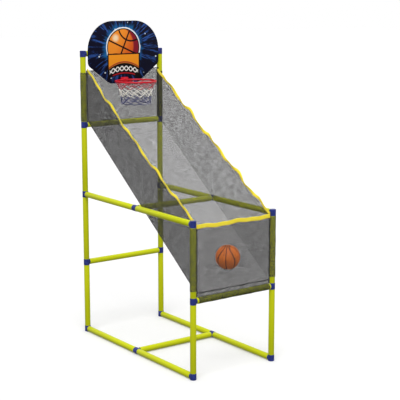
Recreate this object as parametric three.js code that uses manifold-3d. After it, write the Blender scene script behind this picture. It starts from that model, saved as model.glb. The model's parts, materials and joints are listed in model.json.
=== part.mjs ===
// A child's basketball arcade game: a push-fit frame of plastic tubes and connectors, a mesh-cloth
// chute that returns the ball to a bin at the front, a printed backboard, and a hoop with its net.
// Millimetres. +X is the player's right, +Y points away from the player and +Z is up.
// The origin is on the floor, below the centre of the frame.
import * as THREE from "three";
import { mergeVertices } from "three/addons/utils/BufferGeometryUtils.js";
import Module from "manifold-3d";

const wasm = await Module();
wasm.setup();

// ---- Driving dimensions -------------------------------------------------------------------------

// The frame, between the axes of its tubes.
const FRAME_WIDTH = 455;
const FRAME_DEPTH = 922;
const POST_PITCH = 350; // every connector on a post is this far above the one below it
const AXIS_ABOVE_FLOOR = 14.2; // of the base rails

// Tubes and the connectors that plug into them.
const TUBE_RADIUS = 14;
const TUBE_WALL = 1.6;
const HUB_RADIUS = 14.8;
const HUB_REACH = 15.2; // from a connector's centre to the shoulder that a tube stops at
const HUB_CAP = 15; // from an elbow's centre to its blind end
const SPIGOT_RADIUS = 12;
const SPIGOT_LENGTH = 22;
const BORE_RADIUS = 9.8; // the hollow inside a connector
const ROUND_SIDES = 12;
const BORE_SIDES = 8;
const GAP = 0.3; // between pieces that touch
const HOLE_CLEARANCE = 0.4; // round a tube, screw or peg in its hole
const OVERCUT = 1; // how far a cutting tool runs past what it cuts

// Mesh cloth.
const CLOTH = 1.2; // thickness
const SLEEVE_INSIDE = TUBE_RADIUS + HOLE_CLEARANCE;
const SLEEVE_OUTSIDE = SLEEVE_INSIDE + 1;
const SIDE_NET_X = 208.5; // the side nets hang inside the rails
const BACK_NET_Y = FRAME_DEPTH / 2 - 8.5;
const RAMP_RISE_FRONT = 29; // of the ramp above the bin crossbar's axis
const RAMP_RISE_BACK = 19; // of the ramp above the upper crossbar's axis
const BINDING_WIDTH = 19;
const BINDING_THICKNESS = 3;
const SIDE_EDGE_AT_CENTRE = 1018.5; // height of the side binding's centreline halfway along
const SIDE_EDGE_SLOPE = 0.668;
const FRONT_EDGE = 700; // height of the front binding's centreline
const BARE_POST = 31; // of each front post shows below its sleeve
const BARE_BAR = 8; // of the bin crossbar shows at each end of its sleeve
const BARE_TOP = 0.5; // of each front post shows above its sleeve
const BARE_FOOT = 1.5; // of each back post shows below its sleeve

// Backboard.
const BOARD_HALF_WIDTH = 209;
const BOARD_BOTTOM = 1261.5;
const BOARD_HEIGHT = 310;
const BOARD_FOOT_HALF_WIDTH = 83;
const BOARD_SIDE_RISE = 95; // height of the slanted lower corners
const BOARD_SHOULDER = 145; // radius of the upper corners
const BOARD_CORNER = 16; // how much the four lower corners are eased
const BOARD_THICKNESS = 4;
const BOARD_BACK_Y = FRAME_DEPTH / 2 - TUBE_RADIUS - 0.6;
const SADDLE_X = 150; // the two clips on the top crossbar
const SADDLE_WIDTH = 16;
const SADDLE_WALL = 2.5;
const SADDLE_FOOT = 13; // length of each foot, beyond the strap
const SADDLE_INSIDE = TUBE_RADIUS + HOLE_CLEARANCE;
const PEG_RADIUS = 2.5;
const PEG_PROUD = 1; // of the board's front

// Hoop.
const HOOP_RADIUS = 100; // to the centre of the rim
const RIM_RADIUS = 4.5;
const HOOP_ABOVE_BOARD_FOOT = 16;
const RIM_FROM_BOARD = 1.6;
const BRACKET_WIDTH = 44;
const BRACKET_HEIGHT = 28;
const BRACKET_THICKNESS = 4;
const HOOK_COUNT = 10; // they hold the net
const NET_DROP = 104;
const NET_WALL = 2;
const SCREW_X = 17;
const SCREW_RADIUS = 2;
const SCREW_HEAD_RADIUS = 4;
const SCREW_HEAD_HEIGHT = 2.4;
const SCREW_PAST_BOARD = 3;

// Ball.
const BALL_RADIUS = 57;
const BALL_WALL = 1.6;
const VALVE_RADIUS = 2.5;
const VALVE_TILT = Math.PI / 3; // from straight back towards straight up
const BALL_X = 20;
const BALL_FROM_FRONT = 70; // from the front net to the ball's centre

// ---- Places worked out from them ----------------------------------------------------------------

const SIDE_X = FRAME_WIDTH / 2;
const FRONT_Y = -FRAME_DEPTH / 2;
const BACK_Y = FRAME_DEPTH / 2;
const level = (n) => AXIS_ABOVE_FLOOR + n * POST_PITCH;
const [BASE_Z, BIN_Z, RAIL_Z, UPPER_Z, TOP_Z] = [0, 1, 2, 3, 4].map(level);

const RAMP_FRONT_Z = BIN_Z + RAMP_RISE_FRONT;
const RAMP_BACK_Z = UPPER_Z + RAMP_RISE_BACK;
const RAMP_SLOPE = (RAMP_BACK_Z - RAMP_FRONT_Z) / FRAME_DEPTH;
const RAMP_STRETCH = Math.hypot(1, RAMP_SLOPE); // length along the ramp for each mm of depth
const rampZ = (y) => RAMP_FRONT_Z + (y - FRONT_Y) * RAMP_SLOPE;

const EDGE_STRETCH = Math.hypot(1, SIDE_EDGE_SLOPE);
const edgeZ = (y) => SIDE_EDGE_AT_CENTRE + SIDE_EDGE_SLOPE * y;
const NET_FRONT_LIMIT = FRONT_Y + BINDING_THICKNESS / 2 + GAP; // the side nets and ramp stop here
const NET_BACK_LIMIT = BACK_NET_Y - BINDING_THICKNESS / 2 - GAP;

const HOOP_Z = BOARD_BOTTOM + HOOP_ABOVE_BOARD_FOOT;
const BOARD_FRONT_Y = BOARD_BACK_Y - BOARD_THICKNESS;
const BRACKET_BACK_Y = BOARD_FRONT_Y - GAP;
const BRACKET_FRONT_Y = BRACKET_BACK_Y - BRACKET_THICKNESS;
const HOOP_Y = BRACKET_BACK_Y - RIM_FROM_BOARD - RIM_RADIUS - HOOP_RADIUS;

const X = new THREE.Vector3(1, 0, 0);
const Y = new THREE.Vector3(0, 1, 0);
const Z = new THREE.Vector3(0, 0, 1);
const reversed = (v) => v.clone().negate();

// ---- Materials ----------------------------------------------------------------------------------

const plastic = (color, roughness) => new THREE.MeshStandardMaterial({ color, roughness, metalness: 0 });
const limePlastic = plastic(0xc3d010, 0.35);
const bluePlastic = plastic(0x2a3a86, 0.4);
const redPlastic = plastic(0xd0142b, 0.35);
const printedBoard = plastic(0x10143a, 0.3);
const meshCloth = plastic(0x3a3a3c, 0.9);
const yellowTape = plastic(0xf0dc28, 0.8);
const netCord = plastic(0xe8e4e0, 0.85);
const orangeRubber = plastic(0xe87a1c, 0.6);
const zincSteel = new THREE.MeshStandardMaterial({ color: 0xb8bcc0, roughness: 0.35, metalness: 1 });

// ---- Solids -------------------------------------------------------------------------------------

// A closed geometry as a manifold solid, and back.
function solid(geometry) {
  const bare = geometry.clone();
  bare.deleteAttribute("normal");
  bare.deleteAttribute("uv");
  const merged = mergeVertices(bare, 1e-4);
  return new wasm.Manifold(
    new wasm.Mesh({
      numProp: 3,
      vertProperties: merged.getAttribute("position").array,
      triVerts: new Uint32Array(merged.index.array),
    }),
  );
}

function geometryOf(made) {
  const mesh = made.getMesh();
  const positions = new Float32Array(mesh.numVert * 3);
  for (let i = 0; i < mesh.numVert; i++)
    positions.set(mesh.vertProperties.subarray(i * mesh.numProp, i * mesh.numProp + 3), i * 3);
  const geometry = new THREE.BufferGeometry();
  geometry.setAttribute("position", new THREE.BufferAttribute(positions, 3));
  geometry.setIndex(new THREE.BufferAttribute(mesh.triVerts, 1));
  return geometry;
}

const joined = (solids) => solids.reduce((all, one) => all.add(one));
const without = (body, cuts) => cuts.reduce((left, cut) => left.subtract(cut), body);

// A round bar about an axis through the origin, from one distance along it to another.
function rod(radius, from, to, direction, sides = ROUND_SIDES) {
  const geometry = new THREE.CylinderGeometry(radius, radius, to - from, sides);
  geometry.translate(0, (from + to) / 2, 0);
  geometry.applyQuaternion(new THREE.Quaternion().setFromUnitVectors(Y, direction));
  return solid(geometry);
}

const rodAt = (radius, from, to, direction, place, sides) =>
  rod(radius, from, to, direction, sides).translate(place);

function block(low, high) {
  const size = high.map((h, i) => h - low[i]);
  const geometry = new THREE.BoxGeometry(...size);
  geometry.translate(...low.map((l, i) => l + size[i] / 2));
  return solid(geometry);
}

// An outline drawn in Y and Z, as thick as `thickness` and centred on the plane X = x.
function sheetAcrossX(outline, thickness, x) {
  const geometry = new THREE.ExtrudeGeometry(outline, { depth: thickness, bevelEnabled: false });
  geometry.translate(0, 0, -thickness / 2);
  geometry.applyMatrix4(new THREE.Matrix4().makeBasis(Y, Z, X).setPosition(x, 0, 0));
  return geometry;
}

// An outline drawn in X and Z, from y back to y + thickness.
function sheetAcrossY(outline, thickness, y) {
  const geometry = new THREE.ExtrudeGeometry(outline, {
    depth: thickness,
    bevelEnabled: false,
    curveSegments: 12,
  });
  geometry.applyMatrix4(new THREE.Matrix4().makeBasis(X, Z, reversed(Y)).setPosition(0, y + thickness, 0));
  return geometry;
}

const polygon = (points) => new THREE.Shape(points.map(([a, b]) => new THREE.Vector2(a, b)));

// ---- The assembly -------------------------------------------------------------------------------

const machine = new THREE.Group();

function addPiece(name, geometry, material) {
  const mesh = new THREE.Mesh(geometry, material);
  mesh.name = name;
  machine.add(mesh);
  return mesh;
}

const addSolid = (name, made, material) => addPiece(name, geometryOf(made), material);

// ---- Tubes --------------------------------------------------------------------------------------

// A tube between two connectors. It stops at their shoulders, and their spigots reach into it.
function addTube(name, start, end) {
  const from = new THREE.Vector3(...start);
  const along = new THREE.Vector3(...end).sub(from);
  const length = along.length() - 2 * (HUB_REACH + GAP);
  const inside = TUBE_RADIUS - TUBE_WALL;
  const wall = [
    [inside, -length / 2],
    [TUBE_RADIUS, -length / 2],
    [TUBE_RADIUS, length / 2],
    [inside, length / 2],
    [inside, -length / 2],
  ];
  const profile = wall.map(([r, y]) => new THREE.Vector2(r, y));
  const mesh = addPiece(name, new THREE.LatheGeometry(profile, ROUND_SIDES), limePlastic);
  mesh.quaternion.setFromUnitVectors(Y, along.clone().normalize());
  mesh.position.copy(from).addScaledVector(along, 0.5);
}

const SIDES = [
  ["left", -1],
  ["right", 1],
];

for (const [side, sign] of SIDES) {
  const x = sign * SIDE_X;
  for (let n = 0; n < 4; n++)
    addTube(`back_post_${side}_${n + 1}`, [x, BACK_Y, level(n)], [x, BACK_Y, level(n + 1)]);
  for (let n = 0; n < 2; n++)
    addTube(`front_post_${side}_${n + 1}`, [x, FRONT_Y, level(n)], [x, FRONT_Y, level(n + 1)]);
  for (const [rail, z] of [
    ["base_rail", BASE_Z],
    ["side_rail", RAIL_Z],
  ]) {
    addTube(`${rail}_${side}_front`, [x, FRONT_Y, z], [x, 0, z]);
    addTube(`${rail}_${side}_back`, [x, 0, z], [x, BACK_Y, z]);
  }
}

for (const [name, y, z] of [
  ["base_crossbar", 0, BASE_Z],
  ["side_rail_crossbar", 0, RAIL_Z],
  ["bin_crossbar", FRONT_Y, BIN_Z],
  ["back_lower_crossbar", BACK_Y, BIN_Z],
  ["back_upper_crossbar", BACK_Y, UPPER_Z],
  ["top_crossbar", BACK_Y, TOP_Z],
])
  addTube(name, [-SIDE_X, y, z], [SIDE_X, y, z]);

// ---- Connectors ---------------------------------------------------------------------------------

// A hollow connector with an arm along each direction. An elbow's first arm runs on past the
// centre to a blind cap.
function hub(arms) {
  const elbow = arms.length === 2;
  const tip = HUB_REACH + SPIGOT_LENGTH;
  const past = -OVERCUT; // the arms overlap a little at the centre
  const shoulders = arms.map((arm, i) => rod(HUB_RADIUS, elbow && i === 0 ? -HUB_CAP : past, HUB_REACH, arm));
  const spigots = arms.map((arm) => rod(SPIGOT_RADIUS, past, tip, arm));
  const bores = arms.map((arm) => rod(BORE_RADIUS, past, tip + OVERCUT, arm, BORE_SIDES));
  return joined([...shoulders, ...spigots]).subtract(joined(bores));
}

// The base connectors are cut flat where they stand on the floor.
const belowFloor = block([-100, -100, -100], [100, 100, -AXIS_ABOVE_FLOOR]);

for (const [side, sign] of SIDES) {
  const x = sign * SIDE_X;
  const inward = X.clone().multiplyScalar(-sign);
  const [up, down, back, front] = [Z, reversed(Z), Y, reversed(Y)];
  for (const [name, arms, y, z] of [
    ["base_elbow_front", [up, back], FRONT_Y, BASE_Z],
    ["base_elbow_back", [up, front], BACK_Y, BASE_Z],
    ["base_tee", [front, back, inward], 0, BASE_Z],
    ["bin_tee", [up, down, inward], FRONT_Y, BIN_Z],
    ["rail_elbow", [down, back], FRONT_Y, RAIL_Z],
    ["rail_tee", [front, back, inward], 0, RAIL_Z],
    ["post_tee", [up, down, front], BACK_Y, RAIL_Z],
    ["back_lower_tee", [up, down, inward], BACK_Y, BIN_Z],
    ["back_upper_tee", [up, down, inward], BACK_Y, UPPER_Z],
    ["top_elbow", [down, inward], BACK_Y, TOP_Z],
  ]) {
    const made = hub(arms);
    const standing = z === BASE_Z ? made.subtract(belowFloor) : made;
    addSolid(`${name}_${side}`, standing, bluePlastic).position.set(x, y, z);
  }
}

// ---- Nets ---------------------------------------------------------------------------------------

// A cloth sleeve round a tube, from one distance along its axis to another. The hole is cut
// separately, after the sleeve has been joined to its net.
const sleeve = (from, to, direction, place) => rodAt(SLEEVE_OUTSIDE, from, to, direction, place);
const sleeveHole = (from, to, direction, place) =>
  rodAt(SLEEVE_INSIDE, from - OVERCUT, to + OVERCUT, direction, place);

// Side nets: from the ramp up to the binding.
const underBinding = (BINDING_WIDTH / 2 + GAP) * EDGE_STRETCH;
const overRamp = (CLOTH / 2 + GAP) * RAMP_STRETCH;
const sideNet = polygon([
  [NET_FRONT_LIMIT, rampZ(NET_FRONT_LIMIT) + overRamp],
  [NET_BACK_LIMIT, rampZ(NET_BACK_LIMIT) + overRamp],
  [NET_BACK_LIMIT, edgeZ(NET_BACK_LIMIT) - underBinding],
  [NET_FRONT_LIMIT, edgeZ(NET_FRONT_LIMIT) - underBinding],
]);
for (const [side, sign] of SIDES)
  addPiece(`net_side_${side}`, sheetAcrossX(sideNet, CLOTH, sign * SIDE_NET_X), meshCloth);

// The ramp that the ball rolls down, from the back net to the foot of the front net.
const rampHalf = (CLOTH / 2) * RAMP_STRETCH;
const ramp = polygon([
  [NET_FRONT_LIMIT, rampZ(NET_FRONT_LIMIT) - rampHalf],
  [NET_BACK_LIMIT, rampZ(NET_BACK_LIMIT) - rampHalf],
  [NET_BACK_LIMIT, rampZ(NET_BACK_LIMIT) + rampHalf],
  [NET_FRONT_LIMIT, rampZ(NET_FRONT_LIMIT) + rampHalf],
]);
addPiece("net_ramp", sheetAcrossX(ramp, 2 * SIDE_NET_X + CLOTH, 0), meshCloth);

// Front net, with a sleeve on each front post and one on the bin crossbar.
const postSleeveFrom = BIN_Z + HUB_REACH + BARE_POST;
const postSleeveTo = RAIL_Z - HUB_REACH - BARE_TOP;
const barSleeveEnd = SIDE_X - HUB_REACH - BARE_BAR;
const frontSleeves = SIDES.map(([, sign]) => [postSleeveFrom, postSleeveTo, Z, [sign * SIDE_X, FRONT_Y, 0]]);
frontSleeves.push([-barSleeveEnd, barSleeveEnd, X, [0, FRONT_Y, BIN_Z]]);
const frontPanel = joined([
  block(
    [-SIDE_X, FRONT_Y - CLOTH / 2, postSleeveFrom],
    [SIDE_X, FRONT_Y + CLOTH / 2, FRONT_EDGE - BINDING_WIDTH / 2 - GAP],
  ),
  block(
    [-barSleeveEnd, FRONT_Y - CLOTH / 2, BIN_Z + TUBE_RADIUS],
    [barSleeveEnd, FRONT_Y + CLOTH / 2, postSleeveFrom + OVERCUT],
  ),
]);
addSolid(
  "net_front",
  without(
    joined([frontPanel, ...frontSleeves.map((s) => sleeve(...s))]),
    frontSleeves.map((s) => sleeveHole(...s)),
  ),
  meshCloth,
);

// Back net, with a sleeve on each back post above the upper crossbar.
const backSleeveFrom = UPPER_Z + HUB_REACH + BARE_FOOT;
const backPanelHalf = SIDE_X - HUB_REACH - 1; // where it passes between the connectors
const PANEL_OVERLAP = 2; // with the crossbar's height, behind which the back net ends
const halfTape = (BINDING_WIDTH / 2) * EDGE_STRETCH;
const backSleeveTo = edgeZ(BACK_NET_Y) + halfTape;
const backSleeves = SIDES.map(([, sign]) => [backSleeveFrom, backSleeveTo, Z, [sign * SIDE_X, BACK_Y, 0]]);
const backPanel = joined([
  block(
    [-SIDE_X, BACK_NET_Y - CLOTH / 2, backSleeveFrom],
    [SIDE_X, BACK_NET_Y + CLOTH / 2, backSleeveTo],
  ),
  block(
    [-backPanelHalf, BACK_NET_Y - CLOTH / 2, UPPER_Z + TUBE_RADIUS - PANEL_OVERLAP],
    [backPanelHalf, BACK_NET_Y + CLOTH / 2, backSleeveFrom + OVERCUT],
  ),
]);
addSolid(
  "net_back",
  without(
    joined([backPanel, ...backSleeves.map((s) => sleeve(...s))]),
    backSleeves.map((s) => sleeveHole(...s)),
  ),
  meshCloth,
);

// The tape that binds the top edge of the side nets and the front net, as one piece.
const tapeFrontY = FRONT_Y - BINDING_THICKNESS / 2;
const tapeBackY = BACK_NET_Y - CLOTH / 2 - GAP;
const sideTape = polygon([
  [tapeFrontY, edgeZ(tapeFrontY) - halfTape],
  [tapeBackY, edgeZ(tapeBackY) - halfTape],
  [tapeBackY, edgeZ(tapeBackY) + halfTape],
  [tapeFrontY, edgeZ(tapeFrontY) + halfTape],
]);
const frontTape = block(
  [-SIDE_NET_X - BINDING_THICKNESS / 2, tapeFrontY, FRONT_EDGE - BINDING_WIDTH / 2],
  [SIDE_NET_X + BINDING_THICKNESS / 2, tapeFrontY + BINDING_THICKNESS, FRONT_EDGE + BINDING_WIDTH / 2],
);
addSolid(
  "edge_binding",
  joined([
    ...SIDES.map(([, sign]) => solid(sheetAcrossX(sideTape, BINDING_THICKNESS, sign * SIDE_NET_X))),
    frontTape,
  ]),
  yellowTape,
);

// ---- Backboard ----------------------------------------------------------------------------------

// Half of the board's outline, from the foot to the top, mirrored for the other half.
function boardOutline() {
  const side = BOARD_BOTTOM + BOARD_SIDE_RISE;
  const top = BOARD_BOTTOM + BOARD_HEIGHT;
  const slant = Math.hypot(BOARD_HALF_WIDTH - BOARD_FOOT_HALF_WIDTH, BOARD_SIDE_RISE);
  const slantX = ((BOARD_HALF_WIDTH - BOARD_FOOT_HALF_WIDTH) * BOARD_CORNER) / slant;
  const slantZ = (BOARD_SIDE_RISE * BOARD_CORNER) / slant;
  const shoulderX = BOARD_HALF_WIDTH - BOARD_SHOULDER;
  const shape = new THREE.Shape();
  shape.moveTo(-BOARD_FOOT_HALF_WIDTH + BOARD_CORNER, BOARD_BOTTOM);
  shape.lineTo(BOARD_FOOT_HALF_WIDTH - BOARD_CORNER, BOARD_BOTTOM);
  shape.quadraticCurveTo(
    BOARD_FOOT_HALF_WIDTH,
    BOARD_BOTTOM,
    BOARD_FOOT_HALF_WIDTH + slantX,
    BOARD_BOTTOM + slantZ,
  );
  shape.lineTo(BOARD_HALF_WIDTH - slantX, side - slantZ);
  shape.quadraticCurveTo(BOARD_HALF_WIDTH, side, BOARD_HALF_WIDTH, side + BOARD_CORNER);
  shape.lineTo(BOARD_HALF_WIDTH, top - BOARD_SHOULDER);
  shape.absarc(shoulderX, top - BOARD_SHOULDER, BOARD_SHOULDER, 0, Math.PI / 2, false);
  shape.lineTo(-shoulderX, top);
  shape.absarc(-shoulderX, top - BOARD_SHOULDER, BOARD_SHOULDER, Math.PI / 2, Math.PI, false);
  shape.lineTo(-BOARD_HALF_WIDTH, side + BOARD_CORNER);
  shape.quadraticCurveTo(-BOARD_HALF_WIDTH, side, -BOARD_HALF_WIDTH + slantX, side - slantZ);
  shape.lineTo(-BOARD_FOOT_HALF_WIDTH - slantX, BOARD_BOTTOM + slantZ);
  shape.quadraticCurveTo(
    -BOARD_FOOT_HALF_WIDTH,
    BOARD_BOTTOM,
    -BOARD_FOOT_HALF_WIDTH + BOARD_CORNER,
    BOARD_BOTTOM,
  );
  return shape;
}

// Each saddle clip wraps the top crossbar from behind, and two pegs on its feet go through the board.
const saddleOuter = SADDLE_INSIDE + SADDLE_WALL;
const pegZ = saddleOuter + SADDLE_FOOT / 2;
const saddlePegs = (x, radius, from, to) =>
  [-1, 1].map((sign) => rodAt(radius, from, to, Y, [x, 0, TOP_Z + sign * pegZ], BORE_SIDES));

function saddle(x) {
  const low = [x - SADDLE_WIDTH / 2, BOARD_BACK_Y + GAP, TOP_Z - saddleOuter];
  const high = [x + SADDLE_WIDTH / 2, BACK_Y, TOP_Z + saddleOuter];
  const strap = joined([
    rodAt(saddleOuter, low[0], high[0], X, [0, BACK_Y, TOP_Z]),
    block(low, high),
    block(
      [low[0], low[1], low[2] - SADDLE_FOOT],
      [high[0], low[1] + SADDLE_WALL, high[2] + SADDLE_FOOT],
    ),
  ]);
  const hollow = joined([
    rodAt(SADDLE_INSIDE, low[0] - OVERCUT, high[0] + OVERCUT, X, [0, BACK_Y, TOP_Z]),
    block(
      [low[0] - OVERCUT, low[1] - saddleOuter, TOP_Z - SADDLE_INSIDE],
      [high[0] + OVERCUT, BACK_Y, TOP_Z + SADDLE_INSIDE],
    ),
  ]);
  const pegs = saddlePegs(x, PEG_RADIUS, BOARD_FRONT_Y - PEG_PROUD, low[1] + 1);
  return joined([strap.subtract(hollow), ...pegs]);
}

for (const [side, sign] of SIDES) addSolid(`board_saddle_${side}`, saddle(sign * SADDLE_X), bluePlastic);

// Screws through the hoop's bracket and the board, with pan heads at the front.
const screwTip = BOARD_BACK_Y + SCREW_PAST_BOARD;
const screwPlace = (sign) => [sign * SCREW_X, 0, HOOP_Z];
const screwHoles = (from, to) =>
  SIDES.map(([, sign]) => rodAt(SCREW_RADIUS + HOLE_CLEARANCE, from, to, Y, screwPlace(sign), BORE_SIDES));

const throughBoard = [BOARD_FRONT_Y - OVERCUT, BOARD_BACK_Y + OVERCUT];
addSolid(
  "backboard",
  without(solid(sheetAcrossY(boardOutline(), BOARD_THICKNESS, BOARD_FRONT_Y)), [
    ...SIDES.flatMap(([, sign]) =>
      saddlePegs(sign * SADDLE_X, PEG_RADIUS + HOLE_CLEARANCE, ...throughBoard),
    ),
    ...screwHoles(...throughBoard),
  ]),
  printedBoard,
);

for (const [side, sign] of SIDES)
  addSolid(
    `hoop_screw_${side}`,
    joined([
      rodAt(SCREW_RADIUS, BRACKET_FRONT_Y - 1, screwTip, Y, screwPlace(sign), BORE_SIDES),
      rodAt(
        SCREW_HEAD_RADIUS,
        BRACKET_FRONT_Y - GAP - SCREW_HEAD_HEIGHT,
        BRACKET_FRONT_Y - GAP,
        Y,
        screwPlace(sign),
        BORE_SIDES,
      ),
    ]),
    zincSteel,
  );

// ---- Hoop and net -------------------------------------------------------------------------------

// A closed ring turned about the hoop's upright axis, from a profile of [radius, height] points.
function turned(profile, segments) {
  const geometry = new THREE.LatheGeometry(
    profile.map(([r, z]) => new THREE.Vector2(r, z)),
    segments,
  );
  geometry.rotateX(Math.PI / 2);
  geometry.translate(0, HOOP_Y, HOOP_Z);
  return geometry;
}

const RIM_SIDES = 8;
const RIM_SEGMENTS = 32;
const rimProfile = Array.from({ length: RIM_SIDES + 1 }, (_, i) => {
  const angle = (i % RIM_SIDES) * ((2 * Math.PI) / RIM_SIDES);
  return [HOOP_RADIUS + RIM_RADIUS * Math.cos(angle), RIM_RADIUS * Math.sin(angle)];
});

// The bracket: a plate on the board and a rounded boss that carries the rim.
const BOSS_HALF_HEIGHT = 10;
const BOSS_RADIUS = 13;
const bracket = joined([
  block(
    [-BRACKET_WIDTH / 2, BRACKET_FRONT_Y, HOOP_Z - BRACKET_HEIGHT / 2],
    [BRACKET_WIDTH / 2, BRACKET_BACK_Y, HOOP_Z + BRACKET_HEIGHT / 2],
  ),
  rodAt(BOSS_RADIUS, HOOP_Z - BOSS_HALF_HEIGHT, HOOP_Z + BOSS_HALF_HEIGHT, Z, [0, BRACKET_FRONT_Y, 0])
    .subtract(block([-50, BRACKET_BACK_Y - 0.5, 0], [50, BRACKET_BACK_Y + 50, 2 * HOOP_Z])),
]);

// Small hooks under the rim hold the net.
const HOOK_WIDTH = 5;
const HOOK_LENGTH = 8;
const HOOK_IN = 2; // from the rim's centre inward
const HOOK_OUT = 1;
const hookFoot = -RIM_RADIUS - HOOK_LENGTH + HOOK_IN;
const hooks = Array.from({ length: HOOK_COUNT }, (_, i) =>
  block([HOOP_RADIUS - HOOK_IN, -HOOK_WIDTH / 2, hookFoot], [HOOP_RADIUS + HOOK_OUT, HOOK_WIDTH / 2, 0])
    .rotate([0, 0, (i * 360) / HOOK_COUNT])
    .translate([0, HOOP_Y, HOOP_Z]),
);
addSolid(
  "hoop",
  without(joined([solid(turned(rimProfile, RIM_SEGMENTS)), bracket, ...hooks]), [
    ...screwHoles(BRACKET_FRONT_Y - OVERCUT, BRACKET_BACK_Y + OVERCUT),
    // room for the screw heads where the rim passes them
    ...SIDES.map(([, sign]) =>
      rodAt(
        SCREW_HEAD_RADIUS + 2 * GAP,
        BRACKET_FRONT_Y - SCREW_HEAD_HEIGHT - 6,
        BRACKET_FRONT_Y,
        Y,
        screwPlace(sign),
        BORE_SIDES,
      ),
    ),
  ]),
  redPlastic,
);

// The net narrows quickly below the rim, and then hangs almost straight. It is open at both ends.
const netOutside = [
  [95, -12],
  [84, -30],
  [78, -60],
  [74, -NET_DROP - 8],
];
const netInside = netOutside.map(([r, z]) => [r - NET_WALL, z]).reverse();
const netProfile = [...netOutside, ...netInside, netOutside[0]].reverse();
addPiece("hoop_net", turned(netProfile, 24), netCord);

// ---- Ball ---------------------------------------------------------------------------------------

// It is blown up through a small valve hole, and lies in the bin, on the ramp.
const ballY = FRONT_Y + BALL_FROM_FRONT;
const ballZ = rampZ(ballY) + (BALL_RADIUS + CLOTH / 2 + GAP) * RAMP_STRETCH;
const sphere = (radius) => solid(new THREE.SphereGeometry(radius, 16, 12));
const ballShell = without(sphere(BALL_RADIUS), [
  sphere(BALL_RADIUS - BALL_WALL),
  rod(VALVE_RADIUS, BALL_RADIUS - 2 * BALL_WALL, BALL_RADIUS + OVERCUT, Y, BORE_SIDES),
]);
const ball = addSolid("ball", ballShell, orangeRubber);
ball.rotation.x = VALVE_TILT;
ball.position.set(BALL_X, ballY, ballZ);

export default machine;
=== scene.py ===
# %% [markdown]
# # A basketball arcade game, finished in Blender
#
# The real thing is a push-fit frame of plastic tubes. It carries a chute sewn from mesh cloth, a
# printed backboard, a hoop with a corded net, and a small ball that rolls back to the player.
# The sizes were settled in a CAD model, which is loaded here as a fixed frame. This script then makes
# the surface that the eye sees. All lengths are in metres. +X is the player's right, +Y points away
# from the player and +Z is up.

# %% Load the frame
import json
import math

import bmesh
import bpy
from mathutils import Matrix, Vector


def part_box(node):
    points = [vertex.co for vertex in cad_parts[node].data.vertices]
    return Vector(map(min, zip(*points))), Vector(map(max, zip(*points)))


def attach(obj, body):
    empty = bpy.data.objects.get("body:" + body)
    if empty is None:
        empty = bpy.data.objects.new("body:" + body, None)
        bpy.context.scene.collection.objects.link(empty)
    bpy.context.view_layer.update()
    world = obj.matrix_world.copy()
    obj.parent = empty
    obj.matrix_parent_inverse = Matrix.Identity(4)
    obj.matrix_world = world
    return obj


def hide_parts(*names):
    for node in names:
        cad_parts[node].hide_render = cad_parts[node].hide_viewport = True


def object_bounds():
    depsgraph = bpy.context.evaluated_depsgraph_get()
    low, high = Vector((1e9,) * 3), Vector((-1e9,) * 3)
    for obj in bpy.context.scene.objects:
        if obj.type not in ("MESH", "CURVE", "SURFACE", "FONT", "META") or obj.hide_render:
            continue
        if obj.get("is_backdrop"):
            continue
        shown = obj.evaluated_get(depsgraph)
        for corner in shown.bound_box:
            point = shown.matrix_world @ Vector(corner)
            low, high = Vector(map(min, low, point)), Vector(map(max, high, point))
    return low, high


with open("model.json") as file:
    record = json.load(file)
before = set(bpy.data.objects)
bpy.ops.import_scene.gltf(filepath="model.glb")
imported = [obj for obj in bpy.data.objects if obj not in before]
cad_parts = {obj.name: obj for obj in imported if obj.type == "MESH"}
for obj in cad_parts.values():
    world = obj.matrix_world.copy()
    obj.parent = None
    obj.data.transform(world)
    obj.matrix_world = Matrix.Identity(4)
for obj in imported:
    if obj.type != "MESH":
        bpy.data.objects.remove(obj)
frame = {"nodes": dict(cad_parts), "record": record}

cad_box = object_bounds()
print("CAD box", [[round(value, 4) for value in corner] for corner in cad_box])

# %% [markdown]
# ## Measure the frame
#
# The places of the posts, bars and nets come from the CAD nodes. A tube's node gives the line of a post
# or a bar, and a net's node gives the height of its edges. How the cloth hangs and what the board's
# print looks like are chosen further down.

# %% Measure the frame
MM = 0.001
X, Y, Z = (Vector(axis) for axis in ((1, 0, 0), (0, 1, 0), (0, 0, 1)))


def corners(node):
    return tuple(Vector(corner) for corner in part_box(node))


def middle(node):
    low, high = corners(node)
    return (low + high) / 2


TUBE_RADIUS = middle("bin_crossbar").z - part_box("bin_crossbar")[0][2]
POST_X = middle("back_post_right_1").x
FRONT_Y = middle("bin_crossbar").y
BACK_Y = middle("top_crossbar").y
BIN_Z = middle("bin_crossbar").z
RAIL_Z = middle("side_rail_crossbar").z
UPPER_Z = middle("back_upper_crossbar").z
TOP_Z = middle("top_crossbar").z
SIDE_NET_X = middle("net_side_right").x
BACK_NET_Y = BACK_Y - 8.5 * MM
SIDES = (("left", -1), ("right", 1))
print("posts at x", round(POST_X, 4), "front and back at y", round(FRONT_Y, 4), round(BACK_Y, 4))

# %% [markdown]
# ## Small tools
#
# Blender's operators act on whatever is selected, so each step here starts by selecting one piece
# and nothing else. A modifier is added, set and applied in one go, as with its Apply button.

# %% Small tools
def select_only(*pieces):
    bpy.ops.object.select_all(action="DESELECT")
    for piece in pieces:
        piece.select_set(True)
    bpy.context.view_layer.objects.active = pieces[0]


def newest(name):
    piece = bpy.context.object
    piece.name = name
    piece.data.name = name
    select_only(piece)
    return piece


def modify(piece, kind, **settings):
    select_only(piece)
    modifier = piece.modifiers.new(kind.title(), kind)
    for key, value in settings.items():
        setattr(modifier, key, value)
    bpy.ops.object.modifier_apply(modifier=modifier.name)


def combine(piece, other, operation):
    """Adds or cuts away another closed piece, which is then thrown away."""
    modify(piece, "BOOLEAN", object=other, operation=operation, solver="EXACT")
    bpy.data.objects.remove(other)


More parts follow.
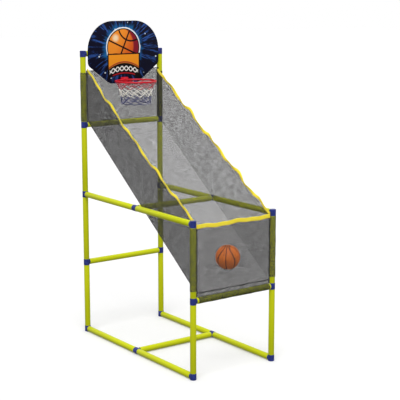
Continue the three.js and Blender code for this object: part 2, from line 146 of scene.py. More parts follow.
def ease_edges(piece, width, segments=2):
    modify(piece, "BEVEL", width=width, segments=segments, limit_method="ANGLE", angle_limit=1.0)


def cut_flat(piece, place, direction):
    """Cuts away what lies beyond a plane, and closes the cut."""
    select_only(piece)
    bpy.ops.object.mode_set(mode="EDIT")
    bpy.ops.mesh.select_all(action="SELECT")
    bpy.ops.mesh.bisect(plane_co=place, plane_no=direction, use_fill=True, clear_outer=True)
    bpy.ops.object.mode_set(mode="OBJECT")


def shade(piece, degrees=35):
    select_only(piece)
    bpy.ops.object.shade_smooth_by_angle(angle=math.radians(degrees))


def copy_of(piece, name):
    twin = piece.copy()
    twin.data = piece.data.copy()
    twin.name = name
    twin.data.name = name
    bpy.context.collection.objects.link(twin)
    return twin


def turn_from_z(direction):
    return Z.rotation_difference(Vector(direction)).to_matrix().to_4x4()


def place_mesh(piece, matrix):
    piece.data.transform(matrix)
    piece.data.update()


def cylinder(name, radius, start, end, direction=Z, sides=32, centre=(0, 0, 0)):
    """A closed round bar along a direction, from one distance to another from its centre."""
    bpy.ops.object.select_all(action="DESELECT")
    bpy.ops.mesh.primitive_cylinder_add(vertices=sides, radius=radius, depth=end - start)
    bar = newest(name)
    place_mesh(bar, Matrix.Translation(centre) @ turn_from_z(direction)
               @ Matrix.Translation((0, 0, (start + end) / 2)))
    return bar


def box_between(name, low, high):
    bpy.ops.object.select_all(action="DESELECT")
    bpy.ops.mesh.primitive_cube_add(size=1)
    block = newest(name)
    low, high = Vector(low), Vector(high)
    place_mesh(block, Matrix.Translation((low + high) / 2) @ Matrix.Diagonal((*(high - low), 1)))
    return block


def finish_piece(piece, material, slot, body="frame"):
    """Gives a new piece its material and the body it moves with. The slot only says whether it is mesh cloth.

    Mesh cloth casts no shadow and passes no light on to other pieces. That is a shortcut, which keeps
    what is behind the cloth almost as bright as what is in front of it.
    """
    if slot == "mesh_cloth":
        piece.visible_shadow = piece.visible_diffuse = False
    piece.data.materials.clear()
    piece.data.materials.append(material)
    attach(piece, body)


print("tools ready")

# %% [markdown]
# ## Camera
#
# The camera stands to the left of the player and looks slightly down, through a long lens that keeps
# upright tubes almost parallel. It comes first, so that each later step can be judged through it.

# %% Camera
CAMERA_TURN = 36.28
CAMERA_TILT = 10.64
CAMERA_DISTANCE = 5.43
CAMERA_AIM = Vector((0.043, -0.144, 0.745))
turn, tilt = math.radians(CAMERA_TURN), math.radians(CAMERA_TILT)
looking = Vector((math.sin(turn) * math.cos(tilt), math.cos(turn) * math.cos(tilt), -math.sin(tilt)))
bpy.ops.object.camera_add(
    location=CAMERA_AIM - CAMERA_DISTANCE * looking,
    rotation=(math.pi / 2 - tilt, 0, -turn),
)
camera = bpy.context.object
camera.data.lens = 103.1
camera.data.sensor_width = 36
bpy.context.scene.camera = camera
print("camera at", [round(value, 2) for value in camera.location])

# %% [markdown]
# ## Node helper and colours
#
# A material is a small graph of nodes. One function adds a node, sets its values and links its
# inputs. Colours are written as the sRGB hex values that a paint chart would give, and are turned into
# the linear values that the shader needs.

# %% Node helper and colours
def linear(hex_colour):
    channels = (int(hex_colour[i : i + 2], 16) / 255 for i in (1, 3, 5))
    turned = [c / 12.92 if c <= 0.04045 else ((c + 0.055) / 1.055) ** 2.4 for c in channels]
    return (*turned, 1)


def new_material(name):
    material = bpy.data.materials.new(name)
    material.use_nodes = True
    tree = material.node_tree
    return material, tree, tree.nodes["Principled BSDF"]


def add(tree, kind, settings=None, **inputs):
    """Adds a node. An input is a value, or an output socket of another node to link from."""
    node = tree.nodes.new("ShaderNode" + kind)
    for key, value in (settings or {}).items():
        setattr(node, key, value)
    for key, value in inputs.items():
        socket = node.inputs[int(key[1:]) if key[0] == "i" and key[1:].isdigit() else key.replace("_", " ")]
        if isinstance(value, bpy.types.NodeSocket):
            tree.links.new(value, socket)
        else:
            socket.default_value = value
    return node


def math_node(tree, operation, *values):
    inputs = {f"i{i}": value for i, value in enumerate(values)}
    return add(tree, "Math", {"operation": operation}, **inputs).outputs[0]


def plus(tree, first, second):
    return math_node(tree, "ADD", first, second)


def minus(tree, first, second):
    return math_node(tree, "SUBTRACT", first, second)


def times(tree, first, second):
    return math_node(tree, "MULTIPLY", first, second)


def size_of(tree, value):
    return math_node(tree, "ABSOLUTE", value)


def blend_colours(tree, amount, first, second):
    """Mixes two colours by an amount between 0 and 1. Each may be a hex value or a socket."""
    first, second = (linear(c) if isinstance(c, str) else c for c in (first, second))
    node = add(tree, "Mix", {"data_type": "RGBA"}, i0=amount, i6=first, i7=second)
    return node.outputs[2]


def band(tree, value, low, high, start=0.0, end=1.0):
    """Goes from start to end as a value goes from low to high, and stays level outside."""
    settings = {"interpolation_type": "SMOOTHSTEP"}
    return add(tree, "MapRange", settings, i0=value, i1=low, i2=high, i3=start, i4=end).outputs[0]


def noise(tree, where, scale, detail=3.0, roughness=0.5):
    node = add(tree, "TexNoise", None, Vector=where, Scale=scale, Detail=detail, Roughness=roughness)
    return node.outputs["Fac"]


def bump(tree, shader, height, distance, strength=1.0):
    made = add(tree, "Bump", None, Height=height, Distance=distance, Strength=strength)
    tree.links.new(made.outputs["Normal"], shader.inputs["Normal"])


def object_place(tree):
    return tree.nodes.new("ShaderNodeTexCoord").outputs["Object"]


print("node tools ready")

# %% [markdown]
# ## Plastics
#
# The tubes are extruded polyethylene, coloured right through, with faint die lines along their length
# and a waxy gloss. The connectors and the hoop are injection moulded, so they have a finer, satin
# skin. All of them are plain dielectrics with an index of refraction of about 1.5.

# %% Plastics
def make_tube_plastic():
    """Extruded polyethylene: die lines, small scuffs and slight colour drift along the tube."""
    material, tree, shader = new_material("extruded polyethylene tube")
    place = object_place(tree)
    drift = noise(tree, place, 9.0)
    scuffs = band(tree, noise(tree, place, 220.0, 5.0, 0.65), 0.56, 0.74)
    colour = blend_colours(tree, drift, "#BBC205", "#C9D00A")
    tree.links.new(blend_colours(tree, times(tree, scuffs, 0.12), colour, "#D8DC50"),
                   shader.inputs["Base Color"])
    tree.links.new(band(tree, scuffs, 0, 1, 0.32, 0.46), shader.inputs["Roughness"])
    shader.inputs["IOR"].default_value = 1.51
    shader.inputs["Specular IOR Level"].default_value = 0.2
    bump(tree, shader, noise(tree, place, 420.0, 2.0), 0.00012, 0.5)
    return material


def make_moulded_plastic(name, base, light, roughness):
    """Injection moulding: a fine spark-eroded grain, and paler rubbed places."""
    material, tree, shader = new_material(name)
    place = object_place(tree)
    rubbed = band(tree, noise(tree, place, 60.0, 4.0, 0.6), 0.45, 0.8)
    tree.links.new(blend_colours(tree, rubbed, base, light), shader.inputs["Base Color"])
    tree.links.new(band(tree, rubbed, 0, 1, roughness, roughness + 0.12), shader.inputs["Roughness"])
    shader.inputs["IOR"].default_value = 1.49
    shader.inputs["Specular IOR Level"].default_value = 0.3
    bump(tree, shader, noise(tree, place, 900.0, 2.0), 0.00008, 0.6)
    return material


tube_plastic = make_tube_plastic()
blue_plastic = make_moulded_plastic("moulded polypropylene, blue", "#232F78", "#33429A", 0.36)
red_plastic = make_moulded_plastic("moulded polypropylene, red", "#C80F26", "#DC2A40", 0.30)
print("plastics", tube_plastic.name, blue_plastic.name, red_plastic.name)

# %% [markdown]
# ## Tubes
#
# Each tube is a length cut from the same stock, hollow, with its cut ends lightly eased. An open
# cylinder is the start. Solidify gives it its wall inwards, and a bevel eases the cut ends, which is
# what catches the light next to a connector. One tube is made for each length and then copied.

# %% Tubes
TUBE_WALL = 1.6 * MM
TUBE_SIDES = 40
tube_stock = {}


def stock_tube(length):
    key = round(length / MM)
    if key not in tube_stock:
        bpy.ops.object.select_all(action="DESELECT")
        bpy.ops.mesh.primitive_cylinder_add(
            vertices=TUBE_SIDES, radius=TUBE_RADIUS, depth=length, end_fill_type="NOTHING")
        tube = newest("stock_tube")
        modify(tube, "SOLIDIFY", thickness=TUBE_WALL, offset=-1)
        ease_edges(tube, 0.5 * MM)
        shade(tube)
        tube_stock[key] = tube
    return tube_stock[key]


tube_nodes = [s["node"] for s in frame["record"]["subparts"] if s["material_slot"] == "lime_tube"]
for node in tube_nodes:
    low, high = corners(node)
    size = high - low
    length = max(size)
    axis = (X, Y, Z)[list(size).index(length)]
    tube = copy_of(stock_tube(length), node + "_tube")
    place_mesh(tube, Matrix.Translation(middle(node)) @ turn_from_z(axis))
    finish_piece(tube, tube_plastic, "lime_tube")
    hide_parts(node)
for tube in tube_stock.values():
    bpy.data.objects.remove(tube)
print(len(tube_nodes), "tubes from", len(tube_stock), "stock lengths")

# %% [markdown]
# ## Connectors
#
# There are two mouldings: an elbow with two arms, and a tee with three. The body is made of short
# round bars joined together, hardly thicker than the tubes. A fine remesh and a little smoothing then
# give the soft fillets that a mould leaves where arms meet. The spigots that hold the tubes are added
# afterwards, because they stay crisp, and a bore goes right through.

# %% Connectors
HUB_RADIUS = 14.8 * MM
HUB_REACH = 15.2 * MM
HUB_CAP = 15 * MM
SPIGOT_RADIUS = 12 * MM
SPIGOT_LENGTH = 22 * MM
BORE_RADIUS = 9.8 * MM


def make_fitting(name, arms, capped):
    """A connector at the origin with an arm along each direction in arms."""
    body = cylinder(name, HUB_RADIUS, -HUB_CAP if capped else -1 * MM, HUB_REACH, arms[0])
    for arm in arms[1:]:
        combine(body, cylinder("arm", HUB_RADIUS, -1 * MM, HUB_REACH, arm), "UNION")
    modify(body, "REMESH", mode="VOXEL", voxel_size=1.0 * MM)
    modify(body, "SMOOTH", factor=0.5, iterations=3)
    for arm in arms:
        spigot = cylinder("spigot", SPIGOT_RADIUS, 0, HUB_REACH + SPIGOT_LENGTH, arm)
        combine(body, spigot, "UNION")
    for arm in arms:
        bore = cylinder("bore", BORE_RADIUS, -2 * MM, HUB_REACH + SPIGOT_LENGTH + 1 * MM, arm, 24)
        combine(body, bore, "DIFFERENCE")
    shade(body, 50)
    return body


elbow = make_fitting("elbow", (Z, X), capped=True)
tee = make_fitting("tee", (Z, -Z, X), capped=False)
print("elbow", len(elbow.data.polygons), "faces, tee", len(tee.data.polygons), "faces")

# %% [markdown]
# ## Put the connectors in place
#
# A connector's node reaches further along each arm than it does on a blind side, so its own box says
# where its centre is, once its arms are known. The first arm of each pair below is the run, and the
# second is the branch. The base connectors are cut flat where they stand on the floor.

# %% Put the connectors in place
ARM_LENGTH = HUB_REACH + SPIGOT_LENGTH
FLOOR_Z = 0.0
inward = {"left": X, "right": -X}
fitting_arms = {
    "base_elbow_front": (elbow, Z, Y),
    "base_elbow_back": (elbow, Z, -Y),
    "base_tee": (tee, Y, None),
    "bin_tee": (tee, Z, None),
    "rail_elbow": (elbow, -Z, Y),
    "rail_tee": (tee, Y, None),
    "post_tee": (tee, Z, -Y),
    "back_lower_tee": (tee, Z, None),
    "back_upper_tee": (tee, Z, None),
    "top_elbow": (elbow, -Z, None),
}


def fitting_centre(node, arms):
    low, high = corners(node)
    centre = (low + high) / 2
    for i in range(3):
        reach = {round(arm[i]) for arm in arms}
        if 1 in reach and -1 not in reach:
            centre[i] = high[i] - ARM_LENGTH
        elif -1 in reach and 1 not in reach:
            centre[i] = low[i] + ARM_LENGTH
    return centre


for kind, (moulding, run, branch) in fitting_arms.items():
    for side, sign in SIDES:
        node = f"{kind}_{side}"
        along = run or inward[side]
        out = branch or inward[side]
        arms = [along, out] if moulding == elbow else [along, -along, out]
        across = along.cross(out)
        axes = Matrix((out, across, along)).transposed().to_4x4()
        fitting = copy_of(moulding, node + "_moulding")
        place_mesh(fitting, Matrix.Translation(fitting_centre(node, arms)) @ axes)
        if kind.startswith("base"):
            cut_flat(fitting, (0, 0, FLOOR_Z), -Z)
        finish_piece(fitting, blue_plastic, "blue_connector")
        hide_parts(node)
bpy.data.objects.remove(elbow)
bpy.data.objects.remove(tee)
print(2 * len(fitting_arms), "connectors placed")

# %% [markdown]
# ## Mesh cloth
#
# The nets are a warp-knitted polyester mesh, dark grey and dull, with square holes and a thread pitch
# of about 1.6 mm. What matters most is the share of the area that is thread, because that sets how
# dark the cloth looks against a bright room. The knitting is uneven, so the threads swell and thin in
# long streaks. The pattern follows each cloth's own UV map, which is in metres. Each cloth is cut at
# its own angle to the knitting, so that two layers seen through each other make no broad bands.

# %% Mesh cloth
MESH_PITCH = 1.6 * MM
STREAK = (34 * MM, 6 * MM)


def make_mesh_cloth(name, thread_share, turn, dark="#2A292B", light="#434142"):
    """thread_share is how much of the area is thread. turn is the knitting's angle, in degrees."""
    material, tree, shader = new_material(name)
    flat = tree.nodes.new("ShaderNodeTexCoord").outputs["UV"]
    wander = add(tree, "TexNoise", None, Vector=flat, Scale=40.0, Detail=1.0).outputs["Color"]
    shift = add(tree, "VectorMath", {"operation": "SCALE"}, i0=wander, Scale=1.0 * MM).outputs[0]
    moved = add(tree, "VectorMath", {"operation": "ADD"}, i0=flat, i1=shift).outputs[0]
    cells = add(tree, "Mapping", None, Vector=moved, Scale=(1 / MESH_PITCH,) * 3,
                Rotation=(0, 0, math.radians(turn))).outputs[0]
    parts = add(tree, "SeparateXYZ", None, i0=cells)
    near = [math_node(tree, "PINGPONG", parts.outputs[i], 0.5) for i in (0, 1)]
    drawn_out = add(tree, "Mapping", None, Vector=flat, Scale=(1 / STREAK[0], 1 / STREAK[1], 1)).outputs[0]
    swelling = band(tree, noise(tree, drawn_out, 1.0, 4.0, 0.6), 0.3, 0.7, 0.8, 1.2)
    half_thread = times(tree, swelling, (1 - math.sqrt(1 - thread_share)) / 2)
    threads = [math_node(tree, "LESS_THAN", value, half_thread) for value in near]
    tree.links.new(math_node(tree, "MAXIMUM", *threads), shader.inputs["Alpha"])
    cloudy = noise(tree, object_place(tree), 26.0, 5.0, 0.65)
    tree.links.new(blend_colours(tree, cloudy, dark, light), shader.inputs["Base Color"])
    bump(tree, shader, math_node(tree, "MINIMUM", *near), 0.0002, 0.5)
    shader.inputs["Roughness"].default_value = 0.85
    shader.inputs["Specular IOR Level"].default_value = 0.2
    return material


open_mesh = make_mesh_cloth("knitted polyester mesh", 0.70, 4)
front_mesh = make_mesh_cloth("knitted polyester mesh, open", 0.54, 24)
side_mesh = make_mesh_cloth("knitted polyester mesh, close", 0.755, 33)
slack_mesh = make_mesh_cloth("knitted polyester mesh, slack", 0.675, 64)
back_mesh = make_mesh_cloth("knitted polyester mesh, dense", 0.79, 58)
doubled_mesh = make_mesh_cloth("knitted polyester mesh, doubled", 0.86, 37, "#1A1A1B", "#303031")
print("cloths", open_mesh.name, front_mesh.name, side_mesh.name, slack_mesh.name, doubled_mesh.name)

# %% [markdown]
# ## Read the nets' edges
#
# The side nets are four-sided. Their lower edge is the line of the ramp and their upper edge is the
# line of the yellow binding. Both lines are read from the corners of the CAD net.

# %% Read the nets' edges
def corner_heights(node, at_back):
    points = [vertex.co for vertex in frame["nodes"][node].data.vertices]
    end = max(p.y for p in points) if at_back else min(p.y for p in points)
    heights = [p.z for p in points if abs(p.y - end) < MM]
    return end, min(heights), max(heights)


NET_FRONT, front_low, front_high = corner_heights("net_side_right", at_back=False)
NET_BACK, back_low, back_high = corner_heights("net_side_right", at_back=True)
BINDING_WIDTH = 19 * MM
TOP_TO_BINDING = 11.8 * MM
FRONT_EDGE_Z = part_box("edge_binding")[0][2] + BINDING_WIDTH / 2


def between(start, end, share):
    return start + (end - start) * share


def share_of_depth(y):
    return (y - NET_FRONT) / (NET_BACK - NET_FRONT)


def ramp_height(y):
    return between(front_low, back_low, share_of_depth(y)) - 1 * MM


def edge_height(y):
    return between(front_high, back_high, share_of_depth(y)) + TOP_TO_BINDING


RAMP_ANGLE = math.atan2(ramp_height(NET_BACK) - ramp_height(NET_FRONT), NET_BACK - NET_FRONT)
print("ramp rises at", round(math.degrees(RAMP_ANGLE), 1), "degrees")

# %% [markdown]
# ## How the cloth hangs
#
# The nets are sewn a little too large, so their free edges sag between the posts and ripple where the
# binding gathers them. The left net is slacker than the right one. A sum of a few waves of different
# lengths gives ripples that never quite repeat, and each cloth has its own phase. The binding also
# rolls in and twists along the sides, where only the soft net holds it up, so less of it shows there.
# Only what shows is made: on the sides the tape is drawn narrower, and the rolled part is left out.

# %% How the cloth hangs
RIPPLES = ((1.0, 0.31, 0.9), (0.7, 0.17, 2.3), (0.45, 0.11, 4.1), (0.25, 0.063, 5.2))


def ripple(along, across, phase):
    """A wavy number between about -1 and 1, from two places in metres."""
    total = 0
    for size, wavelength, offset in RIPPLES:
        slant = 0.35 * math.sin(offset * 3 + phase)
        angle = 2 * math.pi * (along + slant * across) / wavelength + offset + phase
        total += size * math.sin(angle) * math.cos(2.1 * across / wavelength + offset * phase)
    return total / 1.6


SAG = {"left": 14 * MM, "right": 5 * MM}
BACK_LIFT = {"left": 17 * MM, "right": 0.0}
EDGE_WAVE = {"left": 5.5 * MM, "right": 6.5 * MM}
EDGE_WAVELENGTH = 0.185
ROLLED = {"left": 0.64, "right": 0.72}
TWIST = {"left": math.radians(16), "right": math.radians(26)}
TWIST_WAVELENGTH = 0.128
TAPE_OVER_NET = 2.5 * MM


def side_edge(side, y):
    """Height of the binding's centreline along one side."""
    share = share_of_depth(y)
    loose = 4 * share * (1 - share)
    wave = math.sin(2 * math.pi * y / EDGE_WAVELENGTH + (0.6 if side == "left" else 2.4))
    uneven = 0.55 * math.sin(2 * math.pi * y / (0.43 * EDGE_WAVELENGTH) + 0.8)
    hang = BACK_LIFT[side] * share**3 - SAG[side] * loose
    return edge_height(y) + hang + EDGE_WAVE[side] * min(1, 4 * loose) * (wave + uneven)


def tape_lean(side, y):
    """The angle by which the binding leans out from upright."""
    share = share_of_depth(y)
    return TWIST[side] * math.sin(2 * math.pi * y / TWIST_WAVELENGTH) * min(1, 8 * share * (1 - share))


def net_top(side, y):
    """Height of a side net's raw edge, just inside the lower edge of the binding."""
    shown = BINDING_WIDTH * ROLLED[side] * math.cos(tape_lean(side, y))
    return side_edge(side, y) - shown / 2 + TAPE_OVER_NET


def front_edge(x):
    share = abs(x) / SIDE_NET_X
    wave = math.sin(x * 29 + 0.8) + 0.5 * math.sin(x * 71)
    return FRONT_EDGE_Z + 2.8 * MM * wave * (1 - share**4) - 1.5 * MM * (1 - share**2)


def cloth_sheet(name, columns, rows, place):
    """A sheet of cloth. place gives a point and its flat position, from two shares of the cloth."""
    bpy.ops.object.select_all(action="DESELECT")
    bpy.ops.mesh.primitive_grid_add(x_subdivisions=columns, y_subdivisions=rows, size=1)
    cloth = newest(name)
    flat = []
    for vertex in cloth.data.vertices:
        point, uv = place(vertex.co.x + 0.5, vertex.co.y + 0.5)
        vertex.co = point
        flat.append(uv)
    uv_map = cloth.data.uv_layers.active.data
    for loop in cloth.data.loops:
        uv_map[loop.index].uv = flat[loop.vertex_index]
    shade(cloth, 80)
    return cloth


print("left edge sags", SAG["left"] / MM, "mm and the right one", SAG["right"] / MM, "mm")

# %% [markdown]
# ## Side nets and ramp
#
# Each side net hangs from the ramp's line up into its binding. It billows most where nothing holds
# it, which is halfway up. The ramp is drawn tight between the bin bar and the upper crossbar, so it
# only dips slightly, and a little more under the ball.

# %% Side nets and ramp
BILLOW = 5 * MM
SIDE_RIPPLE = 3.2 * MM
RAMP_DIP = 5 * MM
RAMP_RIPPLE = 1.6 * MM
DENT_DEPTH = 3 * MM
DENT_SPREAD = 0.05
DENT_BEHIND_BALL = 0.035


def make_side_net(side, sign):
    def place(s, t):
        y = between(NET_FRONT, NET_BACK, s)
        z = between(ramp_height(y), net_top(side, y), t)
        free = math.sin(math.pi * min(1, t * 1.08)) * min(1, 9 * s, 9 * (1 - s))
        lean = BILLOW * free + SIDE_RIPPLE * ripple(y, z * 0.6, 1.3 + sign) * (0.25 + free) * min(1, 6 * t)
        lean *= min(1, 12 * s, 12 * (1 - s))
        return (sign * (SIDE_NET_X - lean), y, z), (y, z)

    net = cloth_sheet(f"net_side_{side}_cloth", 120, 28, place)
    finish_piece(net, slack_mesh if side == "left" else side_mesh, "mesh_cloth")
    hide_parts(f"net_side_{side}")
    return net


side_nets = {side: make_side_net(side, sign) for side, sign in SIDES}
BALL_MIDDLE = middle("ball")


def place_on_ramp(s, t):
    x, y = between(-SIDE_NET_X, SIDE_NET_X, s), between(NET_FRONT, NET_BACK, t)
    held = min(1, 8 * s, 8 * (1 - s)) * min(1, 10 * t, 10 * (1 - t))
    spans = RAMP_DIP * abs(math.sin(2 * math.pi * t))
    rough = RAMP_RIPPLE * ripple(x, y, 0.4)
    beside_ball = Vector((x, y)) - Vector((BALL_MIDDLE.x, BALL_MIDDLE.y + DENT_BEHIND_BALL))
    dent = DENT_DEPTH * math.exp(-((beside_ball.length / DENT_SPREAD) ** 2))
    z = ramp_height(y) - held * (spans + rough + dent)
    return (x, y, z), (x, y / math.cos(RAMP_ANGLE))


ramp = cloth_sheet("net_ramp_cloth", 48, 110, place_on_ramp)
finish_piece(ramp, open_mesh, "mesh_cloth")
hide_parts("net_ramp")
print("side nets and ramp made")

# %% [markdown]
# ## Front and back nets, with their sleeves
#
# The front net is sewn into a sleeve on each front post and one on the bin bar. The back net has
# sleeves too, on the back posts above the upper crossbar. A sleeve is one layer of cloth round a
# shiny tube, so the tube's colour shows through it. Beside each sleeve, the cloth is doubled in a hem.

# %% Front and back nets, with their sleeves
SLEEVE_RADIUS = TUBE_RADIUS + 1.1 * MM
BACK_HEM_WIDTH = 9 * MM
SIDE_HEM_WIDTH = 8 * MM
HEM_OFFSET = 0.9 * MM


def seam_x(y, post_y):
    """How far from the middle a net at y meets the sleeve on a post at post_y."""
    return POST_X - math.sqrt(SLEEVE_RADIUS**2 - (y - post_y) ** 2) + 0.4 * MM


def make_upright_net(name, y, post_y, low, high_at, phase, loose):
    """A net that is sewn to the sleeves on two posts."""
    half = seam_x(y, post_y)

    def place(s, t):
        x = between(-half, half, s)
        z = between(low, high_at(x), t)
        free = min(1, 5 * s, 5 * (1 - s)) * min(1, 6 * t, 7 * (1 - t))
        push = loose * free * (0.4 + 0.6 * t) * ripple(x * 0.8, z, phase)
        return (x, y + push, z), (x, z)

    return cloth_sheet(name, 56, 44, place)


def make_sleeve(name, cloth, centre, direction, start, end):
    """Cloth wrapped round a tube, from one distance along its axis to another."""
    turned = turn_from_z(direction)

    def place(s, t):
        angle, along = 2 * math.pi * s, between(start, end, t)
        slack = 0.35 * MM * math.sin(3 * angle + along * 40) + 0.25 * MM * math.sin(along * 90 + angle)
        radius = SLEEVE_RADIUS + slack
        point = turned @ Vector((radius * math.cos(angle), radius * math.sin(angle), along))
        return point + Vector(centre), (angle * SLEEVE_RADIUS, along)

    sleeve = cloth_sheet(name, 32, max(4, round((end - start) / 0.012)), place)
    modify(sleeve, "WELD", merge_threshold=0.02 * MM)
    shade(sleeve, 80)
    finish_piece(sleeve, cloth, "mesh_cloth")
    return sleeve


def make_hem(name, cloth, low_corner, high_corner, y):
    """A narrow strip sewn on an upright net, between two corners in X and Z."""
    def place(s, t):
        x, z = between(low_corner[0], high_corner[0], s), between(low_corner[1], high_corner[1], t)
        return (x, y + 0.3 * MM * math.sin(z * 60 + x * 60), z), (x, z)

    columns = max(3, round(abs(high_corner[0] - low_corner[0]) / 0.01))
    rows = max(3, round(abs(high_corner[1] - low_corner[1]) / 0.01))
    hem = cloth_sheet(name, columns, rows, place)
    finish_piece(hem, cloth, "mesh_cloth")
    return hem


BIN_SLEEVE_TOP = BIN_Z + SLEEVE_RADIUS
BARE_POST = 46 * MM
POST_SLEEVE_TOP = RAIL_Z - HUB_REACH - 1 * MM

front_net = make_upright_net("net_front_cloth", FRONT_Y, FRONT_Y, BIN_SLEEVE_TOP - 1 * MM, front_edge,
                             2.2, 3.0 * MM)
finish_piece(front_net, front_mesh, "mesh_cloth")
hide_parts("net_front")
front_seam = seam_x(FRONT_Y - HEM_OFFSET, FRONT_Y)
BAR_SLEEVE_HALF = POST_X - 23.5 * MM
front_parts = [make_sleeve("net_front_bar_sleeve", doubled_mesh, (0, FRONT_Y, BIN_Z), X,
                           -BAR_SLEEVE_HALF, BAR_SLEEVE_HALF)]
for side, sign in SIDES:
    post = (sign * POST_X, FRONT_Y, 0)
    front_parts.append(make_sleeve(f"net_front_sleeve_{side}", side_mesh, post, Z,
                                   BIN_Z + BARE_POST, POST_SLEEVE_TOP))
    front_parts.append(make_hem(f"net_front_hem_{side}", doubled_mesh,
                                (sign * (front_seam - SIDE_HEM_WIDTH), BIN_SLEEVE_TOP),
                                (sign * front_seam, FRONT_EDGE_Z - 6 * MM), FRONT_Y - HEM_OFFSET))
RAMP_FOOT_Z = ramp_height(NET_FRONT)
for name, cloth, low, high in (
    ("net_front_hem_ramp", doubled_mesh, RAMP_FOOT_Z, RAMP_FOOT_Z + 5 * MM),
    ("net_front_foot", open_mesh, BIN_SLEEVE_TOP - 1 * MM, RAMP_FOOT_Z),
):
    front_parts.append(make_hem(name, cloth, (-SIDE_NET_X, low), (SIDE_NET_X, high), FRONT_Y + HEM_OFFSET))

back_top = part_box("net_back")[1][2]
SLEEVE_BELOW_NET = {"left": 10 * MM, "right": 20 * MM}
BACK_FOOT_Z = UPPER_Z + TUBE_RADIUS - 2 * MM
back_net = make_upright_net("net_back_cloth", BACK_NET_Y, BACK_Y, BACK_FOOT_Z, lambda x: back_top,
                            4.4, 2.0 * MM)
finish_piece(back_net, back_mesh, "mesh_cloth")
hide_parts("net_back")
back_seam = seam_x(BACK_NET_Y - HEM_OFFSET, BACK_Y)
for side, sign in SIDES:
    post = (sign * POST_X, BACK_Y, 0)
    make_sleeve(f"net_back_sleeve_{side}", side_mesh, post, Z, UPPER_Z + 17 * MM,
                                  back_top - SLEEVE_BELOW_NET[side])
    make_hem(f"net_back_hem_{side}", doubled_mesh,
                               (sign * (back_seam - BACK_HEM_WIDTH), BACK_FOOT_Z),
                               (sign * back_seam, back_top), BACK_NET_Y - HEM_OFFSET)

# %% [markdown]
# ## Binding tape
#
# A woven polyester tape is folded over the raw top edge of the side nets and the front net. It is a
# little tight, so it puckers the edge. The fold is a narrow upside-down U that is drawn along each
# side's edge line. Its weave and its row of stitches follow a UV map along the tape.

# %% Binding tape
STITCH_PITCH = 5 * MM
STITCH_LINE = 15.5 * MM
STITCH_HALF = 0.5 * MM
TAPE_RIB = 1.2 * MM
TAPE_HALF = 1.3 * MM
TAPE_ROWS = 16


def make_tape_cloth():
    material, tree, shader = new_material("woven polyester binding tape")
    flat = tree.nodes.new("ShaderNodeTexCoord").outputs["UV"]
    parts = add(tree, "SeparateXYZ", None, i0=flat)
    ribs = math_node(tree, "PINGPONG", times(tree, parts.outputs[0], 1 / TAPE_RIB), 0.5)
    across = size_of(tree, minus(tree, parts.outputs[1], BINDING_WIDTH))
    in_row = math_node(tree, "LESS_THAN", size_of(tree, minus(tree, across, STITCH_LINE)), STITCH_HALF)
    dash = math_node(tree, "FRACT", times(tree, parts.outputs[0], 1 / STITCH_PITCH))
    stitch = times(tree, in_row, math_node(tree, "LESS_THAN", dash, 0.7))
    drift = noise(tree, object_place(tree), 12.0)
    woven = blend_colours(tree, drift, "#F8DE1A", "#FFEE3C")
    # Painted shade: a brown-orange band darkens the tape's two lower edges, a painted shadow line along the
    # foot of the fold.
    woven = blend_colours(tree, band(tree, across, 17.4 * MM, 18.6 * MM), woven, "#C8921A")
    tree.links.new(blend_colours(tree, stitch, woven, "#D8B414"), shader.inputs["Base Color"])
    height = plus(tree, times(tree, ribs, 0.6), times(tree, stitch, -1.0))
    bump(tree, shader, height, 0.0004, 0.6)
    shader.inputs["Roughness"].default_value = 0.75
    shader.inputs["Sheen Weight"].default_value = 0.2
    return material


def make_tape(name, points, outward, rolled, leans):
    """Folds tape over a line of points. outward is the flat side's direction."""
    tape_length = [0.0]
    for before, after in zip(points, points[1:]):
        tape_length.append(tape_length[-1] + (after - before).length)
    count = len(points) - 1

    def place(s, t):
        index = min(count, round(s * count))
        ahead = points[min(count, index + 1)] - points[max(0, index - 1)]
        outside = Vector(outward)
        down = ahead.normalized().cross(outside)
        down = down if down.z < 0 else -down
        pucker = 1 + 0.35 * math.sin(tape_length[index] * 210) * math.sin(tape_length[index] * 37)
        across = t * 2 * BINDING_WIDTH
        rise = BINDING_WIDTH - abs(across - BINDING_WIDTH)
        lean = leans[index]
        fullness = min(1, math.sqrt((BINDING_WIDTH - rise) / (3 * MM)))
        bulge = fullness * TAPE_HALF * pucker * (1 if t > 0.5 else -1)
        up = outside * math.sin(lean) - down * math.cos(lean)
        face = outside * math.cos(lean) + down * math.sin(lean)
        foot = points[index] + down * rolled * BINDING_WIDTH / 2 * math.cos(lean)
        point = foot + up * rise * rolled + face * bulge
        return point, (tape_length[index], across)

    return cloth_sheet(name, count, TAPE_ROWS, place), tape_length[-1]


def line_of(place, start, end, count):
    return [Vector(place(between(start, end, i / count))) for i in range(count + 1)]


tape_cloth = make_tape_cloth()
TAPE_PROUD = 0.6 * MM
tape_runs = []
for side, sign in SIDES:
    x = sign * (SIDE_NET_X + TAPE_PROUD)
    path = line_of(lambda y: (x, y, side_edge(side, y)), NET_FRONT - 2 * MM, NET_BACK + 0.8 * MM, 220)
    leans = [tape_lean(side, point.y) for point in path]
    tape_runs.append(make_tape(f"tape_{side}", path, (sign, 0, 0), ROLLED[side], leans))
path = line_of(lambda x: (x, FRONT_Y, front_edge(x)), -SIDE_NET_X - 2 * MM, SIDE_NET_X + 2 * MM, 100)
tape_runs.append(make_tape("tape_front", path, (0, -1, 0), 1, [0] * len(path)))
binding = tape_runs[0][0]
select_only(binding, *[run for run, _ in tape_runs[1:]])
bpy.ops.object.join()
binding.name = "edge_binding_tape"
finish_piece(binding, tape_cloth, "yellow_binding")
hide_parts("edge_binding")

# %% [markdown]
# ## The side nets' cut size
#
# A side net is four-sided. It is cut from a rectangle laid along the ramp's line, and that rectangle
# and the net's own area are printed for each side. The area is added up from the same edge lines that
# shape the mesh.

# %% The side nets' cut size
net_depth = NET_BACK - NET_FRONT
STRIPS = 100


